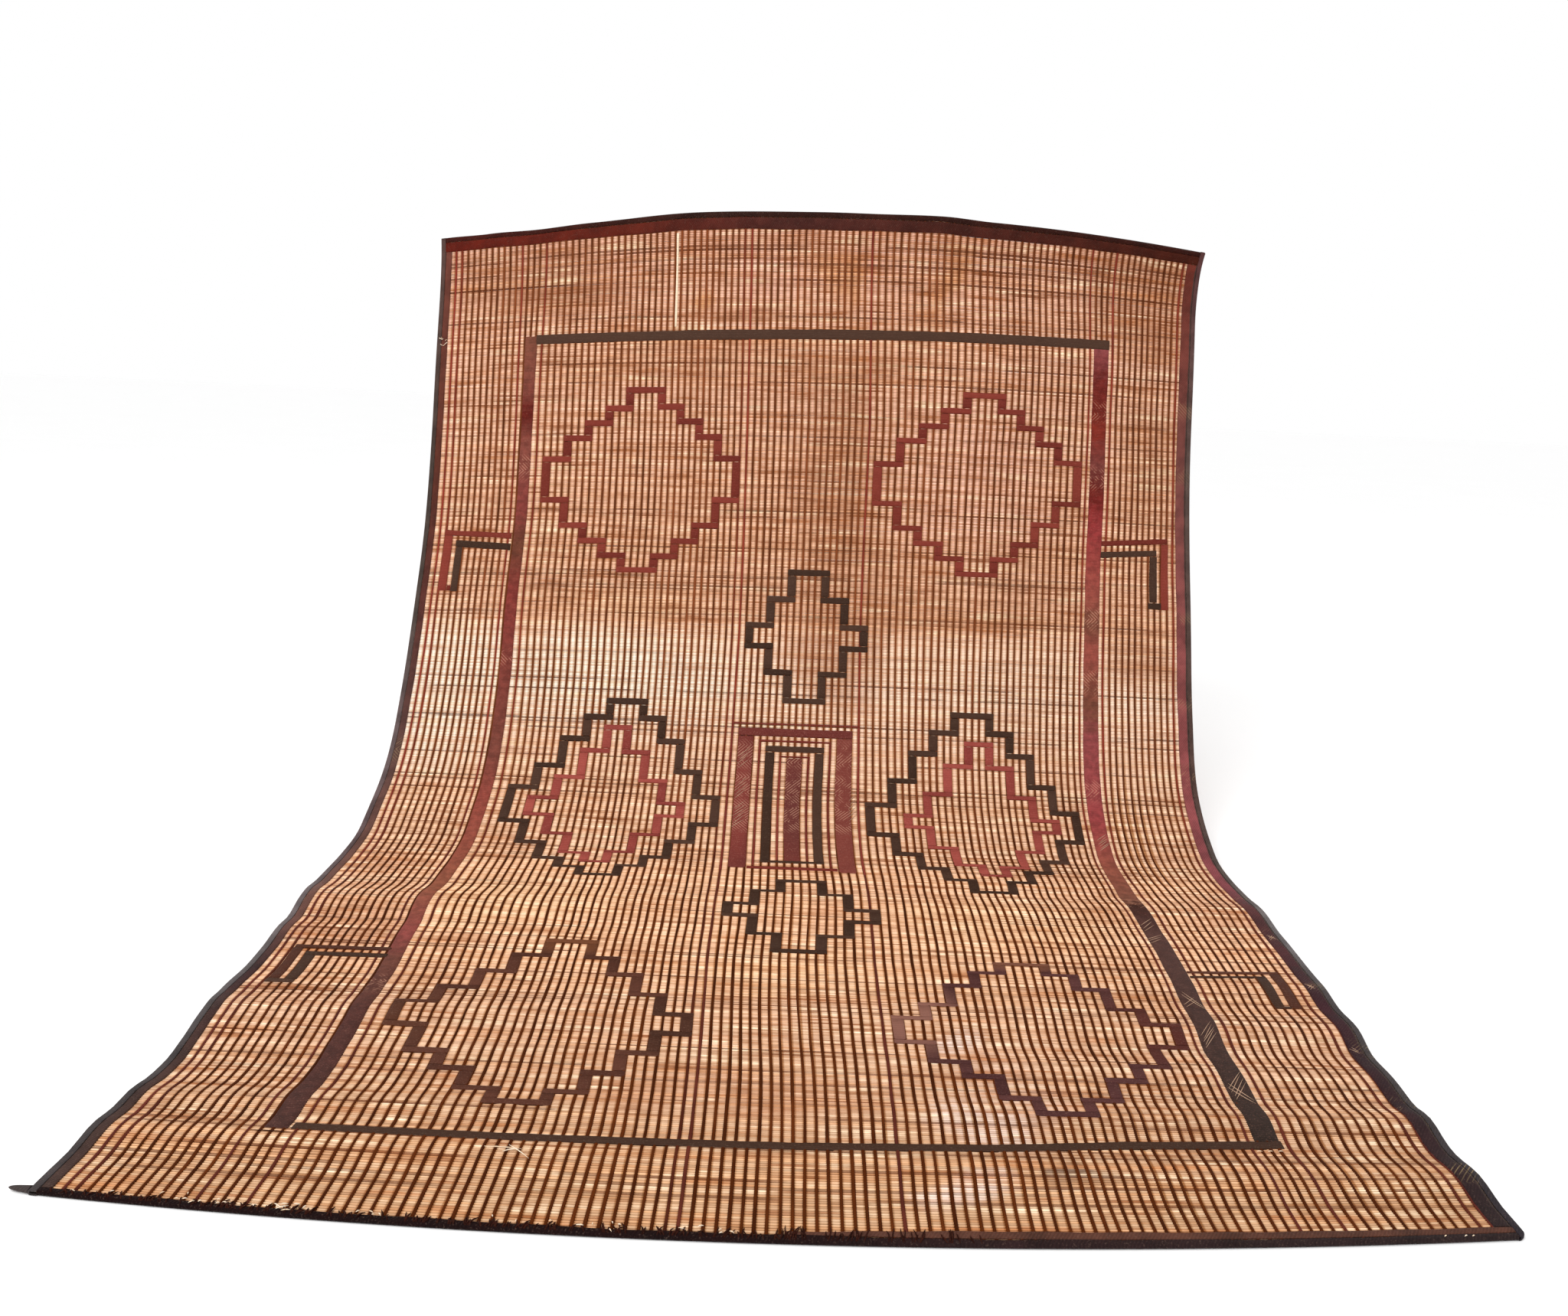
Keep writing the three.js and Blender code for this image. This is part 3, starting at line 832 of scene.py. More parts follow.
def along_pad(first_thong, last_thong, start, end, margins=(THONG_WIDTH / 2, THONG_WIDTH / 2)):
    """A pad down the mat, from the outer side of one thong to the outer side of another."""
    global pad_count
    pad_count += 1
    along = with_ends(start, end, PAD_STEP_ALONG)
    left = thong_across(first_thong, along) - margins[0]
    right = thong_across(last_thong, along) + margins[1]
    half = (right - left) / 2 + ripple(along, PAD_UNEVEN, (14, 30))
    across = ((left + right) / 2)[:, None] + half[:, None] * PAD_SECTION[:, 0]
    cell = first_thong + (last_thong - first_thong) * (PAD_SECTION[:, 0] + 1) / 2
    return tube(across, along[:, None], pad_heights(len(along)), pad=pad_count, cell=cell)


print("points around a pad:", len(PAD_SECTION))


# %% The leather finishes of the pattern
def pad_finish(name, dark, light, worn, stains=()):
    """Dyed leather: a tone for each pad, stains, soft blotches, fine grain and worn, paler spots."""
    finish = Finish(name, 0.6)
    place = finish.value("place", "Vector")
    pad = finish.value("pad")
    own = finish.white(finish.vector(pad, 5.2))
    _, along, _ = finish.split(place)
    blotch = finish.noise(place, 38.0, 3.0, 0.6)
    grain = finish.grain(place)
    wave = finish.reed_wave(along)
    share = finish.plus(finish.times(own, 0.6), finish.times(blotch, 0.45))
    colour = finish.mix(share, dark, light)
    colour = finish.stains(colour, place, stains)
    colour = finish.scratches(colour, place, blotch, paint(206, 158, 132))
    colour = finish.mix(finish.span(grain, 0.54, 0.74, 0.0, 0.4), colour, worn)
    # Painted highlight on the crowns of the reeds under the leather and painted shade between them.
    tone = finish.span(wave, -1.0, 1.0, 0.84, 1.08)
    colour = finish.toned(colour, tone)
    rough = finish.span(blotch, 0.3, 0.7, 0.5, 0.72)
    height = finish.plus(grain, finish.times(wave, 0.4))
    return finish.done(colour, rough, finish.bump(height, 0.0009, 0.6))


red_leather = pad_finish("red_leather", paint(88, 32, 25), paint(136, 60, 49), paint(158, 88, 76))
black_leather = pad_finish("black_leather", paint(46, 31, 23), paint(80, 56, 45), paint(106, 88, 74))
# Stains: middle across and along, reach across and along, colour, strength.
BROWN_STAINS = (
    ((580, 2165), (120, 60), (116, 70, 44), 0.7), ((350, 2460), (110, 130), (84, 50, 36), 0.7),
    ((800, 2460), (110, 160), (62, 39, 29), 0.7),
)
FADED_STAINS = (
    ((1215, 2400), (120, 170), (140, 96, 82), 0.85), ((1440, 2190), (110, 40), (134, 86, 62), 0.6),
    ((1650, 2420), (130, 180), (84, 40, 31), 0.7),
)
MAROON_STAINS = (
    ((868, 1525), (60, 260), (146, 68, 60), 0.4), ((998, 1540), (40, 220), (94, 50, 46), 0.6),
)
brown_leather = pad_finish("brown_leather", paint(58, 32, 24), paint(98, 59, 46), paint(130, 96, 78),
                           BROWN_STAINS)
faded_leather = pad_finish("faded_leather", paint(56, 30, 30), paint(92, 56, 53), paint(132, 96, 84),
                           FADED_STAINS)
rose_leather = pad_finish("rose_leather", paint(106, 40, 36), paint(168, 82, 72), paint(184, 116, 104))
maroon_leather = pad_finish("maroon_leather", paint(88, 36, 34), paint(132, 68, 58), paint(176, 122, 106),
                            MAROON_STAINS)


def worked(name, pads, leather, rows=1):
    """A piece of the pattern from its pads."""
    piece = make_piece(name, pads, rows=rows)
    piece.data.materials.append(leather)


print("leathers:", [name for name in bpy.data.materials.keys() if name.endswith("leather")])

# %% [markdown]
# ## Stepped diamonds
#
# A stepped diamond is counted on the thongs: each half has upright bars over single gaps, three gaps
# apart, joined by level steps. One function draws them all from the first gap, the bars' gaps and the
# levels of the steps, which differ a little from side to side because the work is done by eye.


# %% Stepped diamonds from a count
def stepped_diamond(first_gap, left_bars, right_bars, left_levels, right_levels, talls):
    """Bars listed from the outside in; levels from the top down; talls for the upper and lower steps."""
    steps = len(left_bars)
    tall = np.interp(np.arange(2 * steps), (0, 2 * steps - 1), talls)
    pads = []

    def step(number, from_gap, to_gap, level):
        """A level step from the left thong of one gap to the right thong of another."""
        start = thong_across(first_gap + from_gap, level) - THONG_WIDTH / 2
        end = thong_across(first_gap + to_gap + 1, level) + THONG_WIDTH / 2
        pads.append(across_pad(float(start), float(end), level, tall[number]))

    def bar(number, gap, levels):
        """An upright bar over one gap, between two steps."""
        start = levels[number] + tall[number] / 2
        end = levels[number + 1] - tall[number + 1] / 2
        pads.append(along_pad(first_gap + gap, first_gap + gap + 1, start, end))

    for number in (0, 2 * steps - 1):
        step(number, left_bars[-1], right_bars[-1], (left_levels[number] + right_levels[number]) / 2)
    for bars, levels in ((left_bars, left_levels), (right_bars, right_levels)):
        gaps = [*bars[::-1], *bars[1:]]
        for number, gap in enumerate(gaps):
            bar(number, gap, levels)
        for number in range(1, 2 * steps - 1):
            pair = sorted((gaps[number - 1], gaps[number]))
            step(number, *pair, levels[number])
    return pads


WIDE_BARS = ((0, 3, 6, 9, 12), (29, 26, 23, 20, 17))
SMALL_BARS = ((0, 3, 6), (17, 14, 11))
INNER_LEFT_BARS = ((3, 6, 9, 12), (24, 21, 18, 15))
INNER_RIGHT_BARS = ((5, 8, 11, 14), (26, 23, 20, 17))
LEFT_COLUMN_GAP = 16
MIDDLE_COLUMN_GAP = 48
RIGHT_COLUMN_GAP = 66
print("bars in a wide diamond:", WIDE_BARS)

# %% The upper, middle and lower diamonds
# Name, leather, slot, first gap and bars, then the levels of the left and right steps, then how tall the
# highest and the lowest steps are.
DIAMONDS = (
    ("diamond_upper_left", red_leather, "red_leather", LEFT_COLUMN_GAP, WIDE_BARS,
     (421, 468, 506, 545, 600, 708, 776, 817, 856, 895),
     (421, 464, 501, 541, 596, 705, 773, 816, 857, 895), (17, 16)),
    ("diamond_upper_right", red_leather, "red_leather", RIGHT_COLUMN_GAP, WIDE_BARS,
     (418, 459, 500, 539, 601, 704, 767, 806, 844, 884),
     (418, 456, 495, 535, 581, 688, 746, 801, 842, 884), (15, 14)),
    ("diamond_middle_left", black_leather, "dark_leather", LEFT_COLUMN_GAP, WIDE_BARS,
     (1245, 1288, 1348, 1426, 1494, 1606, 1675, 1734, 1775, 1815),
     (1245, 1288, 1348, 1432, 1506, 1595, 1656, 1716, 1760, 1815), (17, 11)),
    ("diamond_middle_right", black_leather, "dark_leather", RIGHT_COLUMN_GAP, WIDE_BARS,
     (1252, 1299, 1356, 1434, 1508, 1604, 1669, 1722, 1778, 1840),
     (1252, 1297, 1354, 1437, 1512, 1605, 1679, 1725, 1782, 1840), (16, 13)),
    ("diamond_inner_left", rose_leather, "red_leather", LEFT_COLUMN_GAP, INNER_LEFT_BARS,
     (1315, 1380, 1459, 1526, 1582, 1643, 1709, 1744),
     (1315, 1381, 1462, 1530, 1572, 1636, 1700, 1744), (15, 8)),
    ("diamond_inner_right", rose_leather, "red_leather", RIGHT_COLUMN_GAP, INNER_RIGHT_BARS,
     (1326, 1387, 1468, 1537, 1575, 1642, 1703, 1746),
     (1326, 1388, 1470, 1538, 1576, 1646, 1707, 1746), (14, 9)),
    ("diamond_lower_left", brown_leather, "dark_leather", LEFT_COLUMN_GAP, WIDE_BARS,
     (2160, 2217, 2285, 2350, 2417, 2498, 2570, 2613, 2665, 2702),
     (2160, 2220, 2283, 2355, 2433, 2492, 2557, 2613, 2667, 2702), (15, 14)),
    ("diamond_lower_right", faded_leather, "dark_leather", RIGHT_COLUMN_GAP, WIDE_BARS,
     (2185, 2230, 2283, 2355, 2412, 2488, 2550, 2588, 2642, 2688),
     (2185, 2230, 2283, 2352, 2408, 2477, 2545, 2588, 2642, 2688), (12, 14)),
    ("small_diamond_upper", black_leather, "dark_leather", MIDDLE_COLUMN_GAP, SMALL_BARS,
     (894, 966, 1035, 1089, 1157, 1230),
     (894, 966, 1036, 1091, 1159, 1230), (17, 15)),
    ("small_diamond_lower", black_leather, "dark_leather", MIDDLE_COLUMN_GAP, SMALL_BARS,
     (1816, 1874, 1959, 2011, 2089, 2164),
     (1818, 1889, 1972, 2021, 2092, 2164), (13, 14)),
)
for name, leather, slot, gap, bars, left_levels, right_levels, talls in DIAMONDS:
    worked(name, stepped_diamond(gap, *bars, left_levels, right_levels, talls), leather)
print("pads in the diamonds:", pad_count)

# %% [markdown]
# ## The frame: two bands and two lines
#
# Two long bands run down the mat, over three thongs each, and a black line joins them at the top and
# at the bottom. The leather is pieced and worn, so its tone changes down the mat, from reds above to
# near black below. A ramp of tones down the mat is enough for that, and a value on the tube says
# where it is scratched.

# %% The band finish
# Along, then the tone there.
LEFT_BAND_TONES = (
    (280, (110, 65, 50)), (420, (115, 60, 50)), (480, (90, 25, 20)), (560, (120, 65, 55)),
    (740, (120, 55, 50)), (830, (95, 55, 40)), (960, (120, 50, 45)), (1380, (110, 60, 50)),
    (1540, (135, 65, 55)), (1930, (135, 80, 60)), (2150, (130, 65, 60)), (2260, (100, 60, 50)),
    (2490, (75, 45, 40)), (2780, (70, 45, 40)),
)
RIGHT_BAND_TONES = (
    (280, (130, 65, 65)), (370, (100, 35, 30)), (500, (115, 40, 30)), (580, (110, 55, 50)),
    (660, (100, 30, 25)), (750, (135, 50, 50)), (930, (140, 70, 60)), (1000, (110, 65, 50)),
    (1080, (140, 70, 60)), (1220, (110, 65, 50)), (1300, (135, 65, 65)), (1540, (140, 60, 60)),
    (1700, (135, 75, 60)), (1860, (120, 75, 60)), (1900, (60, 35, 30)), (2040, (80, 55, 50)),
    (2740, (50, 40, 35)),
)


def band_finish(name, tones):
    """Dyed leather pressed over the reeds: a tone down the mat, flecks, ridges and pale scratches."""
    finish = Finish(name, 0.6)
    place = finish.value("place", "Vector")
    across, along, _ = finish.split(place)
    fleck = finish.noise(place, 60.0, 3.0, 0.6)
    grain = finish.grain(place)
    uneven = finish.streaks(across, 12.0, finish.times(along, 60.0), 2.0, 0.5)
    level = finish.plus(along, finish.span(uneven, 0.2, 0.8, -0.02, 0.02))
    colour = finish.tones(level, LENGTH, tones)
    colour = finish.scratches(colour, place, fleck, paint(190, 146, 120))
    colour = finish.mix(finish.span(grain, 0.55, 0.75, 0.0, 0.3), colour, paint(150, 104, 92))
    wave = finish.reed_wave(along)
    # Flecks of tone, with a painted highlight on the reeds' crowns under the leather and painted shade
    # between them.
    tone = finish.plus(finish.span(fleck, 0.3, 0.7, 0.78, 1.2), finish.times(wave, 0.1))
    colour = finish.toned(colour, tone)
    rough = finish.span(fleck, 0.3, 0.7, 0.5, 0.72)
    height = finish.plus(grain, finish.times(wave, 0.5))
    return finish.done(colour, rough, finish.bump(height, 0.0009, 0.6))


print("tones down the bands:", len(LEFT_BAND_TONES), len(RIGHT_BAND_TONES))

# %% Bands and lines
LEFT_SCRATCHES = ((600, 640), (1130, 1150), (2330, 2370))
RIGHT_SCRATCHES = ((430, 455), (596, 640), (967, 1011), (1132, 1175), (1420, 1460), (1865, 1905))
SCRATCH_FADE = 12.0
# Side, first and last thong, ends along, margins beyond the thongs, tones, scratched stretches.
BANDS = (
    ("left", (12, 14), (277.0, 2792.0), (-0.6, 5.0), LEFT_BAND_TONES, LEFT_SCRATCHES),
    ("right", (98, 100), (282.0, 2736.0), (5.5, 5.5), RIGHT_BAND_TONES, RIGHT_SCRATCHES),
)
# Name and how tall, then across and along at points of the line.
LINES = (
    ("line_top", 25, ((263, 287), (640, 284), (1200, 277), (1775, 271))),
    ("line_bottom", 18, ((283, 2783), (600, 2783), (1000, 2778), (1300, 2768), (1500, 2753), (1700, 2745),
                         (1742, 2743))),
)


def scratch_value(along, stretches):
    """1 inside each stretch along the mat, fading to 0 beyond its ends."""
    total = np.zeros_like(along)
    for start, end in stretches:
        outside = np.maximum(np.maximum(start - along, along - end), 0)
        total = np.maximum(total, np.clip(1 - outside / SCRATCH_FADE, 0, 1))
    return total


for side, thongs, ends, margins, tones, scratches in BANDS:
    band = along_pad(*thongs, *ends, margins)
    band["scratch"] = scratch_value(band["place"][..., 1] / MM, scratches)
    worked(f"band_{side}", [band], band_finish(f"band_leather_{side}", tones), rows=12)
for name, tall, line in LINES:
    worked(name, [across_pad(line[0][0], line[-1][0], line, tall)], black_leather, rows=8)

# %% [markdown]
# ## The centre panel and the hooks
#
# The panel is a set of upright frames, one inside another, counted on the thongs: maroon, then a thin
# red line, then black, then another red line and a bar in the middle. The hooks stand in the four
# corners of the border, a red line and a black one, each turning down at its outer end.

# %% The centre panel
PANEL_OVERLAP = 3.0


def level_pad(first_thong, last_thong, level, tall, overlap=PANEL_OVERLAP):
    """A pad along the reeds from one thong to another, reaching a little past both."""
    start, end = thong_across((first_thong, last_thong), level)
    return across_pad(float(start) - overlap, float(end) + overlap, level, tall)


panel_maroon = [
    level_pad(48, 64, 1314, 22), along_pad(48, 50, 1325, 1749), along_pad(62, 64, 1325, 1759),
    along_pad(55, 57, 1382, 1714),
]
panel_black = [
    level_pad(52, 60, 1358, 17), along_pad(52, 53, 1367, 1713), along_pad(59, 60, 1367, 1713),
    level_pad(52, 60, 1717, 8),
]
panel_red = [
    level_pad(47, 65, 1292, 4), level_pad(51, 61, 1337, 5), level_pad(54, 58, 1379, 4),
    level_pad(50, 62, 1746, 13, overlap=-4.0), along_pad(47, 47, 1294, 1765), along_pad(65, 65, 1294, 1770),
    along_pad(51, 51, 1340, 1738), along_pad(61, 61, 1340, 1738), along_pad(54, 54, 1381, 1712),
    along_pad(58, 58, 1381, 1712),
]
UPRIGHT_WIDTH = 0.06
PANEL_SCRATCHES = ((1350, 1405), (1435, 1495), (1515, 1600))
for pad in panel_maroon:
    sides = scratch_value(pad["place"][..., 1] / MM, PANEL_SCRATCHES)
    upright = np.ptp(pad["place"][..., 0]) < UPRIGHT_WIDTH
    pad["scratch"] = np.where(upright, sides, 0.0)
worked("panel_maroon", panel_maroon, maroon_leather)
worked("panel_black", panel_black, black_leather)
worked("panel_red", panel_red, red_leather)
print("pads in the panel:", len(panel_maroon), len(panel_black), len(panel_red))


# %% The hooks
def upright_pad(start_across, end_across, start, end):
    """A pad down the mat between two places across, which need not be thongs."""
    level = (start + end) / 2
    return along_pad(*cell_at(np.array([start_across, end_across], float), level), start, end, (0, 0))


# Name, leather and slot. Then the arm: its left and right end, along at both, and how tall. The leg: left,
# right, start and end along. The foot, if there is one: left and right end, along and how tall.
HOOKS = (
    ("upper_left_red", red_leather, "red_leather",
     (55, 231, 797, 806, 15), (55, 77, 804, 958), (77, 87, 950, 15)),
    ("upper_left_black", black_leather, "dark_leather",
     (87, 231, 827, 836, 19), (87, 106, 836, 960), None),
    ("upper_right_red", red_leather, "red_leather",
     (1769, 1942, 788, 774, 14), (1922, 1942, 782, 957), None),
    ("upper_right_black", black_leather, "dark_leather",
     (1767, 1913, 818, 807, 16), (1893, 1913, 816, 939), (1888, 1923, 948, 17)),
    ("lower_left_red", brown_leather, "dark_leather",
     (60, 245, 2213, 2213, 12), (60, 80, 2219, 2343), None),
    ("lower_left_black", black_leather, "dark_leather",
     (88, 245, 2241, 2241, 16), (90, 112, 2249, 2343), (60, 112, 2350, 14)),
    ("lower_right_red", brown_leather, "dark_leather",
     (1755, 1932, 2193, 2183, 9), (1912, 1932, 2188, 2325), None),
    ("lower_right_black", black_leather, "dark_leather",
     (1755, 1902, 2215, 2204, 8), (1880, 1902, 2208, 2318), (1880, 1911, 2322, 7)),
)
for name, leather, slot, (left, right, left_along, right_along, tall), leg, foot in HOOKS:
    pads = [across_pad(left, right, ((left, left_along), (right, right_along)), tall), upright_pad(*leg)]
    if foot:
        pads.append(across_pad(*foot))
    worked(f"hook_{name}", pads, leather)
print("pads in all:", pad_count)

# %% [markdown]
# ## Edgings, facings and the loose corner
#
# A black strip is folded over each edge, and beside it a red or brown strip is sewn on the face. A
# fold could be a solidified ribbon, but a closed U-shaped section carried along the edge gives the
# fold its round back and the right thickness at once. Distances in the section run inwards from the
# mat's edge. Along the bottom the edging is worn narrow, and the strip beside it is left only on the
# right half.

# %% Sections along the edges
SIDE_STATIONS = 148
END_STATIONS = 110
EDGING_WIDE = 12.0
BOTTOM_EDGING_WIDE = 8.0
EDGE_GAP = 0.4
BOTTOM_FACING_START = 1000.0
BOTTOM_FACING_WIDENS = (900.0, 1300.0)
BOTTOM_FACING_WIDE = (3.0, 11.4)
BOTTOM_FACING_GAP = 0.9
CORNER_ROUND = 11.5
CORNER_STEPS = np.array([9.0, 6.0, 3.5, 1.5, 0.5])


def folded_strip(wide):
    """A strip folded over the edge: an upper leg as wide as asked, the round fold and a lower leg."""
    leg = [(wide, 2.1), (wide - 0.2, 3.2), (wide - 1.4, 3.7), (wide / 2, 3.8)]
    upper = [*leg, (2.2, 3.6), (0.7, 2.9), (0.1, 1.2)]
    lower = [(inward, -height) for inward, height in reversed(upper)]
    inside = [(3.0, -2.0), (2.0, -1.0), (2.0, 1.0), (3.0, 2.0)]
    return np.array(upper + lower + inside)


def flat_strip(start, end):
    """A crowned strip on the face from one distance to another, with rounded shoulders."""
    wide = end - start
    shares = np.array([(0, 2.1), (0.04, 3.0), (0.2, 3.55), (0.5, 3.7), (0.8, 3.55), (0.96, 3.0), (1, 2.1)])
    return np.stack([start + shares[:, 0] * wide, shares[:, 1]], axis=-1)


def corner_inset(along):
    """How far a round corner stands in from the side edge: r - sqrt(r^2 - d^2), d past its start."""
    past = np.clip(along - (LENGTH - CORNER_ROUND), 0, CORNER_ROUND * 0.99)
    return CORNER_ROUND - np.sqrt(CORNER_ROUND**2 - past**2)


def waves(places, *rows):
    """The sum of size * sin(place / length + start) over rows of those three numbers."""
    return sum(size * np.sin(places / length + start) for size, length, start in rows)


def side_strip(section, right, ends, marks=()):
    """A section carried down a side edge, a little uneven in width; the right one has a round corner."""
    along = np.union1d(np.linspace(*ends, SIDE_STATIONS), ends[1] - CORNER_STEPS)
    uneven = waves(along, (0.35, 23.0, right), (0.3, 61.0, 2.0))
    inward = section[:, 0] + uneven[:, None] * (section[:, 0] > EDGING_WIDE - 2)
    if right and ends[1] == LENGTH:
        inset = corner_inset(along)[:, None]
        inward = inset + inward * (1 - inset / EDGING_WIDE)
    across = WIDTH - inward if right else inward
    scratch = scratch_value(along, marks)[:, None]
    return tube(across, along[:, None], section[None, :, 1], inward=inward, scratch=scratch)


def end_strip(section, bottom):
    """A section carried along the top or bottom edge, between the two side edgings."""
    across = np.linspace(EDGING_WIDE + EDGE_GAP, WIDTH - EDGING_WIDE - EDGE_GAP, END_STATIONS)
    uneven = waves(across, (0.5, 27.0, bottom), (0.4, 71.0, 0.0))
    inward = section[:, 0] + uneven[:, None] * (section[:, 0] > BOTTOM_EDGING_WIDE - 2)
    along = LENGTH - inward if bottom else inward
    return tube(across[:, None], along, section[None, :, 1], inward=inward, scratch=0.0)


def bottom_facing():
    """The strip above the bottom edging: narrow where it starts near the middle, wider to the right."""
    across = np.linspace(BOTTOM_FACING_START, WIDTH - EDGING_WIDE - EDGE_GAP, END_STATIONS // 2)
    narrow, broad = BOTTOM_FACING_WIDE
    share = np.clip((across - BOTTOM_FACING_WIDENS[0]) / np.ptp(BOTTOM_FACING_WIDENS), 0, 1)
    wide = narrow + (broad - narrow) * share * share * (3 - 2 * share) + waves(across, (0.5, 19.0, 0.0))
    section = flat_strip(0.0, 1.0)
    inward = BOTTOM_EDGING_WIDE + BOTTOM_FACING_GAP + wide[:, None] * section[:, 0]
    return tube(across[:, None], LENGTH - inward, section[None, :, 1], inward=inward, scratch=0.0)


side_fold = folded_strip(EDGING_WIDE)
print("points around a folded strip:", len(side_fold))

# %% The edging finishes
SEWING_PITCH = 0.007


def strip_finish(name, colours, dark_until=0.0, sideways=False):
    """Dark leather along an edge: a colour along its way, sewing ridges, grain, blotches and marks."""
    finish = Finish(name, 0.62, 0.05)
    place = finish.value("place", "Vector")
    across, along, _ = finish.split(place)
    way, reach = (across, WIDTH) if sideways else (along, LENGTH)
    colour = finish.tones(way, reach, colours)
    blotch = finish.noise(place, 16.0, 4.0, 0.65)
    grain = finish.grain(place)
    inner = finish.plus(finish.value("inward"), finish.times(blotch, 5.0))
    colour = finish.mix(finish.span(inner, dark_until, dark_until + 4.0), paint(66, 54, 50), colour)
    slant = finish.plus(along, finish.times(across, 1.35))
    ridge = finish.math("SINE", finish.times(slant, 2 * np.pi / SEWING_PITCH))
    # Blotches of tone, with a painted highlight on the sewing ridges and painted shade between them.
    tone = finish.plus(finish.span(blotch, 0.3, 0.7, 0.72, 1.3), finish.times(ridge, 0.12))
    colour = finish.toned(colour, tone)
    colour = finish.mix(finish.span(grain, 0.56, 0.76, 0.0, 0.3), colour, paint(122, 98, 86))
    colour = finish.scratches(colour, place, blotch, paint(150, 128, 92))
    height = finish.plus(finish.times(ridge, 0.5), grain)
    rough = finish.span(blotch, 0.3, 0.7, 0.5, 0.74)
    return finish.done(colour, rough, finish.bump(height, 0.0008, 0.6))


LEFT_EDGE = ((0, (80, 60, 55)), (600, (60, 50, 45)), (1000, (70, 60, 55)), (1400, (95, 80, 80)),
             (1700, (85, 70, 70)), (2000, (100, 90, 90)), (2300, (90, 85, 85)), (2600, (65, 60, 60)),
             (2940, (60, 55, 55)))
RIGHT_EDGE = ((0, (80, 50, 50)), (600, (80, 65, 60)), (1400, (75, 55, 50)), (1700, (80, 70, 65)),
              (2000, (105, 100, 100)), (2300, (65, 60, 60)), (2600, (65, 60, 60)), (2940, (40, 35, 40)))
TOP_EDGE = ((0, (60, 20, 15)), (700, (45, 25, 20)), (2000, (50, 20, 15)))
BOTTOM_EDGE = ((0, (20, 5, 5)), (1000, (25, 10, 10)), (1300, (40, 25, 25)), (2000, (40, 30, 30)))
LEFT_FACE = ((0, (100, 55, 45)), (600, (80, 40, 30)), (1000, (75, 40, 35)), (1400, (80, 55, 50)),
             (2000, (110, 75, 65)), (2300, (55, 35, 35)), (2600, (65, 45, 40)), (2940, (60, 45, 40)))
RIGHT_FACE = ((0, (95, 40, 30)), (600, (105, 60, 55)), (1400, (135, 70, 70)), (1800, (115, 60, 65)),
              (1890, (80, 45, 45)), (2300, (55, 30, 35)), (2940, (40, 30, 30)))
TOP_FACE = ((0, (90, 25, 15)), (500, (85, 30, 20)), (900, (70, 35, 30)), (2000, (65, 25, 15)))
BOTTOM_FACE = ((1000, (80, 50, 40)), (2000, (80, 50, 40)))
print("tones along the edgings:", len(LEFT_EDGE), len(RIGHT_EDGE), len(TOP_EDGE), len(BOTTOM_EDGE))

# %% Make the edgings and facings
LEFT_FACING = (12.4, 27.9)
RIGHT_FACING = (12.4, 37.8)
TOP_FACING = (12.4, 37.8)
FULL_LENGTH = (0.0, LENGTH)
LEFT_FACING_ENDS = (38.4, LENGTH - 8.6)
RIGHT_FACING_ENDS = (38.4, LENGTH - 20.6)
LEFT_MARKS = ((1370, 1425),)
RIGHT_MARKS = ((410, 440), (592, 612), (975, 992), (1180, 1205), (1370, 1410), (1830, 1850), (2004, 2030),
               (2232, 2256), (2455, 2480), (2628, 2640), (2796, 2818))
trim_tubes = {
    "edging_left": (side_strip(side_fold, 0, FULL_LENGTH), LEFT_EDGE, "dark_leather", 0.0),
    "edging_right": (side_strip(side_fold, 1, FULL_LENGTH, RIGHT_MARKS), RIGHT_EDGE, "dark_leather", 0.0),
    "edging_top": (end_strip(side_fold, 0), TOP_EDGE, "dark_leather", 0.0),
    "edging_bottom": (end_strip(folded_strip(BOTTOM_EDGING_WIDE), 1), BOTTOM_EDGE, "dark_leather", -6.0),
    "facing_left": (side_strip(flat_strip(*LEFT_FACING), 0, LEFT_FACING_ENDS, LEFT_MARKS), LEFT_FACE,
                    "red_leather", 10.0),
    "facing_right": (side_strip(flat_strip(*RIGHT_FACING), 1, RIGHT_FACING_ENDS, RIGHT_MARKS), RIGHT_FACE,
                     "red_leather", 16.0),
    "facing_top": (end_strip(flat_strip(*TOP_FACING), 0), TOP_FACE, "red_leather", 10.0),
    "facing_bottom": (bottom_facing(), BOTTOM_FACE, "red_leather", 8.0),
}
trim_pieces = []
for node, (shape, colours, slot, dark_until) in trim_tubes.items():
    piece = make_piece(f"sewn_{node}", [shape], rows=10)
    sideways = node.endswith(("top", "bottom"))
    piece.data.materials.append(strip_finish(f"{node}_leather", colours, dark_until, sideways))
    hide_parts(node)
    trim_pieces.append(piece)
print("edgings and facings:", [piece.name for piece in trim_pieces])

# %% The loose corner
TAIL_STATIONS = 14
TAIL_START = -0.4
TAIL_LENGTH = 31.0
TAIL_ALONG = 2933.5
TAIL_HALF_WIDE = 6.4
TAIL_HALF_HIGH = 3.6
TAIL_SIDES = 12


def tail_tube():
    """An oval carried outwards, narrowing towards a round tip."""
    share = np.linspace(0, 1, TAIL_STATIONS)
    turn = 2 * np.pi * np.arange(TAIL_SIDES) / TAIL_SIDES
    narrowing = (1 - 0.42 * share) * np.sqrt(np.clip(1.02 - share**6, 0.02, 1))
    along = TAIL_ALONG + TAIL_HALF_WIDE * narrowing[:, None] * np.cos(turn)
    height = TAIL_HALF_HIGH * narrowing[:, None] * np.sin(turn)
    across = TAIL_START - TAIL_LENGTH * share
    return tube(across[:, None], along, height, inward=0.0, scratch=0.0)


tail = make_piece("sewn_corner_tail", [tail_tube()])
tail.data.materials.append(strip_finish("corner_tail_leather", LEFT_EDGE))
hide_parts("corner_tail")
print("loose corner:", tail.name, len(tail.data.polygons))

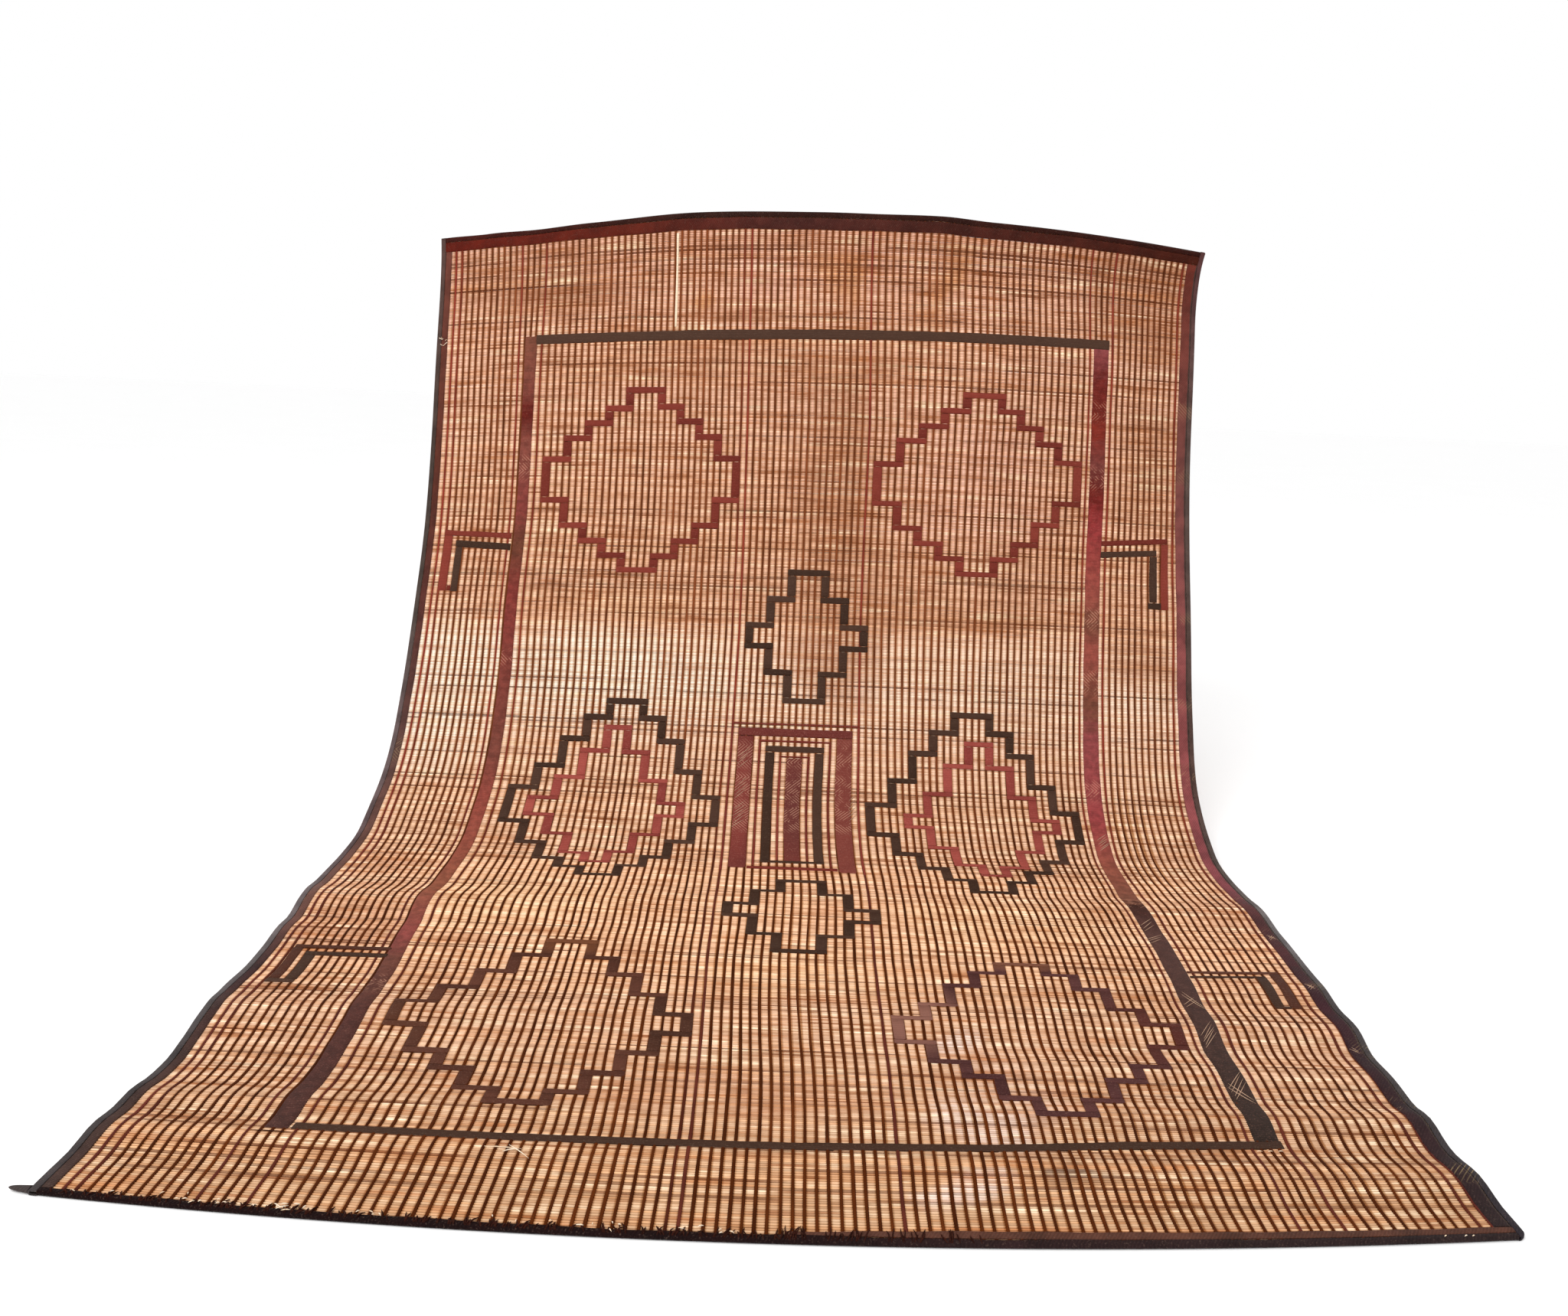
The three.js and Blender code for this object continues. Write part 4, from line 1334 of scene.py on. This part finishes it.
# %% [markdown]
# ## Frayed ends, splinters and scratches
#
# On the left half of the bottom edge the edging is torn into short dark ends, and pale splinters of
# reed stick out between them. Bundles of thin pale scratches cross the bands and the panel. Hair
# could make such fringes, but a few dozen short strands are enough: each is a thin tube through a few
# points on the mat, with its own length and slant. Near the top one gap between two thongs is covered
# by a pale slat.

# %% Strands
STRAND_SIDES = 5
STRAND_STATIONS = 4
# Torn ends: ranges of slant, sideways bend, lift and radius, then height and taper at each station.
TORN_SLANT = (-8, 10)
TORN_BEND = (-2, 2)
TORN_LIFT = (-0.2, 0.3)
TORN_RADIUS = (0.9, 1.6)
TORN_HEIGHT = np.array([3.2, 4.3, 4.0, 2.6])
TORN_TAPER = np.array([0.6, 1.0, 0.9, 0.35])
TORN_INSET = 1.5
SPLINTER_TAPER = np.array([0.4, 1.0, 0.9, 0.3])
SCRATCH_HEIGHT = 3.3
SCRATCH_LIFT = 0.2
SCRATCH_THICK = 0.65
SCRATCH_SHORTER = (0, 5)


def strand(across, along, height, radius, **values):
    """A thin round strand through points on the mat, its section square to its way across the mat."""
    turn = 2 * np.pi * np.arange(STRAND_SIDES) / STRAND_SIDES
    heading = np.arctan2(np.gradient(along), np.gradient(across))[:, None]
    off = radius[:, None] * np.cos(turn)
    return tube(across[:, None] - off * np.sin(heading), along[:, None] + off * np.cos(heading),
                height[:, None] + radius[:, None] * np.sin(turn), **values)


def torn_ends(count, across_range, reach_range):
    """Short dark ends that come over the edging and lie on the reeds, thinner towards both tips."""
    share = np.linspace(0, 1, STRAND_STATIONS)
    strands = []
    for number in range(count):
        start = rng.uniform(*across_range)
        slant = rng.uniform(*TORN_SLANT)
        along = LENGTH - TORN_INSET - rng.uniform(*reach_range) * share
        across = start + slant * share + rng.uniform(*TORN_BEND) * np.sin(np.pi * share)
        height = TORN_HEIGHT + rng.uniform(*TORN_LIFT)
        radius = rng.uniform(*TORN_RADIUS) * TORN_TAPER
        strands.append(strand(across, along, height, radius, pad=float(number), cell=0.0))
    return strands


def splinter(start, end, height, lift=0.8, thick=0.8):
    """A straight splinter from one place to another, lifted in its middle and tapered at both ends."""
    share = np.linspace(0, 1, STRAND_STATIONS)
    across = start[0] + (end[0] - start[0]) * share
    along = start[1] + (end[1] - start[1]) * share
    lifted = height + lift * np.sin(np.pi * share)
    return strand(across, along, lifted, thick * SPLINTER_TAPER, pad=start[0], cell=0.0)


def scratch_bundle(left, right, left_along, right_along, count, apart):
    """Lines side by side across a piece of leather, all on one slant, each a little shorter or longer."""
    lines = []
    for number in range(count):
        start = (left + rng.uniform(*SCRATCH_SHORTER), left_along + number * apart)
        end = (right - rng.uniform(*SCRATCH_SHORTER), right_along + number * apart)
        lines.append(splinter(start, end, SCRATCH_HEIGHT, SCRATCH_LIFT, SCRATCH_THICK))
    return lines


print("points of a strand:", STRAND_STATIONS * STRAND_SIDES)

# %% Torn ends and splinters
torn = torn_ends(170, (30.0, 1010.0), (7.0, 15.0)) + torn_ends(40, (990.0, 1260.0), (12.0, 21.0))
torn.append(splinter((230, 2802), (290, 2802), 3.0))
torn_leather = pad_finish("torn_leather", paint(26, 9, 6), paint(58, 26, 18), paint(92, 62, 48))
worked("torn_ends", torn, torn_leather)
SPLINTER_HEIGHT = 4.2
# Splinters listed one by one: across and along at the start and at the end.
SPLINTERS = (
    ((572, 2811), (626, 2813)), ((606, 2806), (640, 2829)), ((600, 2819), (622, 2812)),
    ((330, 2926), (342, 2932)), ((336, 2934), (350, 2928)), ((344, 2936), (356, 2934)),
    ((1882, 2936), (1886, 2934)), ((1910, 2937), (1915, 2935)), ((1921, 2937), (1925, 2936)),
    ((1694, 2763), (1703, 2763)), ((1711, 2763), (1719, 2762)), ((1727, 2762), (1735, 2762)),
)
splinters = [splinter(start, end, SPLINTER_HEIGHT) for start, end in SPLINTERS]
for loose in rng.uniform((40.0, LENGTH - 18.0), (1000.0, LENGTH - 6.0), (34, 2)):
    turned = rng.uniform(0, 2 * np.pi)
    far = loose + rng.uniform(4, 11) * np.array([np.cos(turned), 0.5 * np.sin(turned)])
    splinters.append(splinter(loose, far, 4.3))
for loose in rng.uniform((5.0, 262.0), (24.0, 300.0), (9, 2)):
    splinters.append(splinter(loose, loose + rng.uniform((3, -6), (8, 6)), SPLINTER_HEIGHT))
pale_fibre = pad_finish("pale_fibre", paint(226, 190, 150), paint(252, 236, 214), paint(255, 250, 240))
worked("reed_splinters", splinters, pale_fibre)
worked("pale_slat", [upright_pad(624.5, 630.5, 42, 262)], pale_fibre)
# Left and right end across, along at the left and at the right, number of lines, distance between them.
SCRATCH_BUNDLES = (
    (1722, 1752, 1596, 1574, 6, 7), (1716, 1750, 1990, 1962, 3, 12), (1714, 1750, 2052, 2030, 3, 9),
    (1718, 1750, 2282, 2332, 2, 9), (1712, 1745, 2325, 2300, 2, 9), (1711, 1744, 2440, 2392, 5, 9),
    (1709, 1744, 2600, 2553, 4, 10), (1708, 1742, 2588, 2630, 2, 10), (852, 884, 1382, 1356, 4, 11),
    (852, 884, 1470, 1440, 4, 12), (852, 884, 1540, 1512, 6, 12), (1128, 1152, 1500, 1478, 6, 13),
    (1963, 1985, 2010, 2028, 2, 6), (1963, 1985, 2030, 2010, 2, 6), (1964, 1984, 2234, 2252, 2, 6),
    (1964, 1984, 2254, 2236, 2, 6), (1964, 1984, 2458, 2476, 2, 6), (1964, 1982, 2640, 2630, 2, 5),
)
scratch_lines = [line for bundle in SCRATCH_BUNDLES for line in scratch_bundle(*bundle)]
worn_fibre = pad_finish("worn_fibre", paint(156, 120, 98), paint(206, 172, 144), paint(218, 190, 164))
worked("scratch_lines", scratch_lines, worn_fibre)
print("strands:", len(torn), len(splinters), len(scratch_lines))

# %% [markdown]
# ## Floor and light
#
# The mat stands in a plain bright studio. A bright even sky gives the soft light of an overcast day,
# and one broad lamp in front and above brings out the crowns of the leather. The floor is a wide
# sheet at the height on which the mat lies.

# %% Floor
FLOOR_REACH = 40.0
FLOOR_GAP = 0.0008
FLOOR_HEIGHT = float(frame["record"]["mounts"][1]["pos_m"][2]) - FLOOR_GAP


def floor_finish():
    """A pale matt floor with a hardly visible unevenness."""
    finish = Finish("pale_floor", 0.8, 0.2)
    place = finish.add("ShaderNodeTexCoord", {}, "Object")
    cloud = finish.noise(place, 1.5, 3.0)
    colour = finish.mix(cloud, paint(253, 253, 253), paint(255, 255, 255))
    return finish.done(colour, finish.span(cloud, 0.3, 0.7, 0.75, 0.85), finish.bump(cloud, 0.0005, 0.1))


SQUARE = ((-1, -1), (1, -1), (1, 1), (-1, 1))
corners = [(x * FLOOR_REACH, y * FLOOR_REACH, FLOOR_HEIGHT) for x, y in SQUARE]
floor_mesh = bpy.data.meshes.new("floor")
floor_mesh.from_pydata(corners, [], [(0, 1, 2, 3)])
floor = bpy.data.objects.new("floor", floor_mesh)
floor.data.materials.append(floor_finish())
bpy.context.scene.collection.objects.link(floor)
print("floor at", round(FLOOR_HEIGHT, 4))

# %% Light
SKY_STRENGTH = 1.0
LAMP_PLACE = (-2.2, -4.2, 3.2)
LAMP_TARGET = (0.0, -0.8, -0.9)
LAMP_SIZE = 3.0
LAMP_POWER = 160.0

world = bpy.data.worlds.new("studio")
world.use_nodes = True
world.node_tree.nodes["Background"].inputs["Color"].default_value = (1.0, 1.0, 1.0, 1.0)
world.node_tree.nodes["Background"].inputs["Strength"].default_value = SKY_STRENGTH
bpy.context.scene.world = world
bpy.context.scene.view_settings.view_transform = "Standard"


def aimed(place, target):
    """A matrix that stands at a place and looks towards a target, with its own Z pointing backwards."""
    back = np.array(place) - np.array(target)
    back = back / np.linalg.norm(back)
    right = np.cross((0.0, 0.0, 1.0), back)
    right = right / np.linalg.norm(right)
    matrix = np.eye(4)
    matrix[:3] = np.stack([right, np.cross(back, right), back, np.array(place)], axis=1)
    return Matrix(matrix.tolist())


lamp_data = bpy.data.lights.new("soft_lamp", "AREA")
lamp_data.size = LAMP_SIZE
lamp_data.energy = LAMP_POWER
lamp = bpy.data.objects.new("soft_lamp", lamp_data)
lamp.matrix_world = aimed(LAMP_PLACE, LAMP_TARGET)
bpy.context.scene.collection.objects.link(lamp)
print("lamp at", LAMP_PLACE)
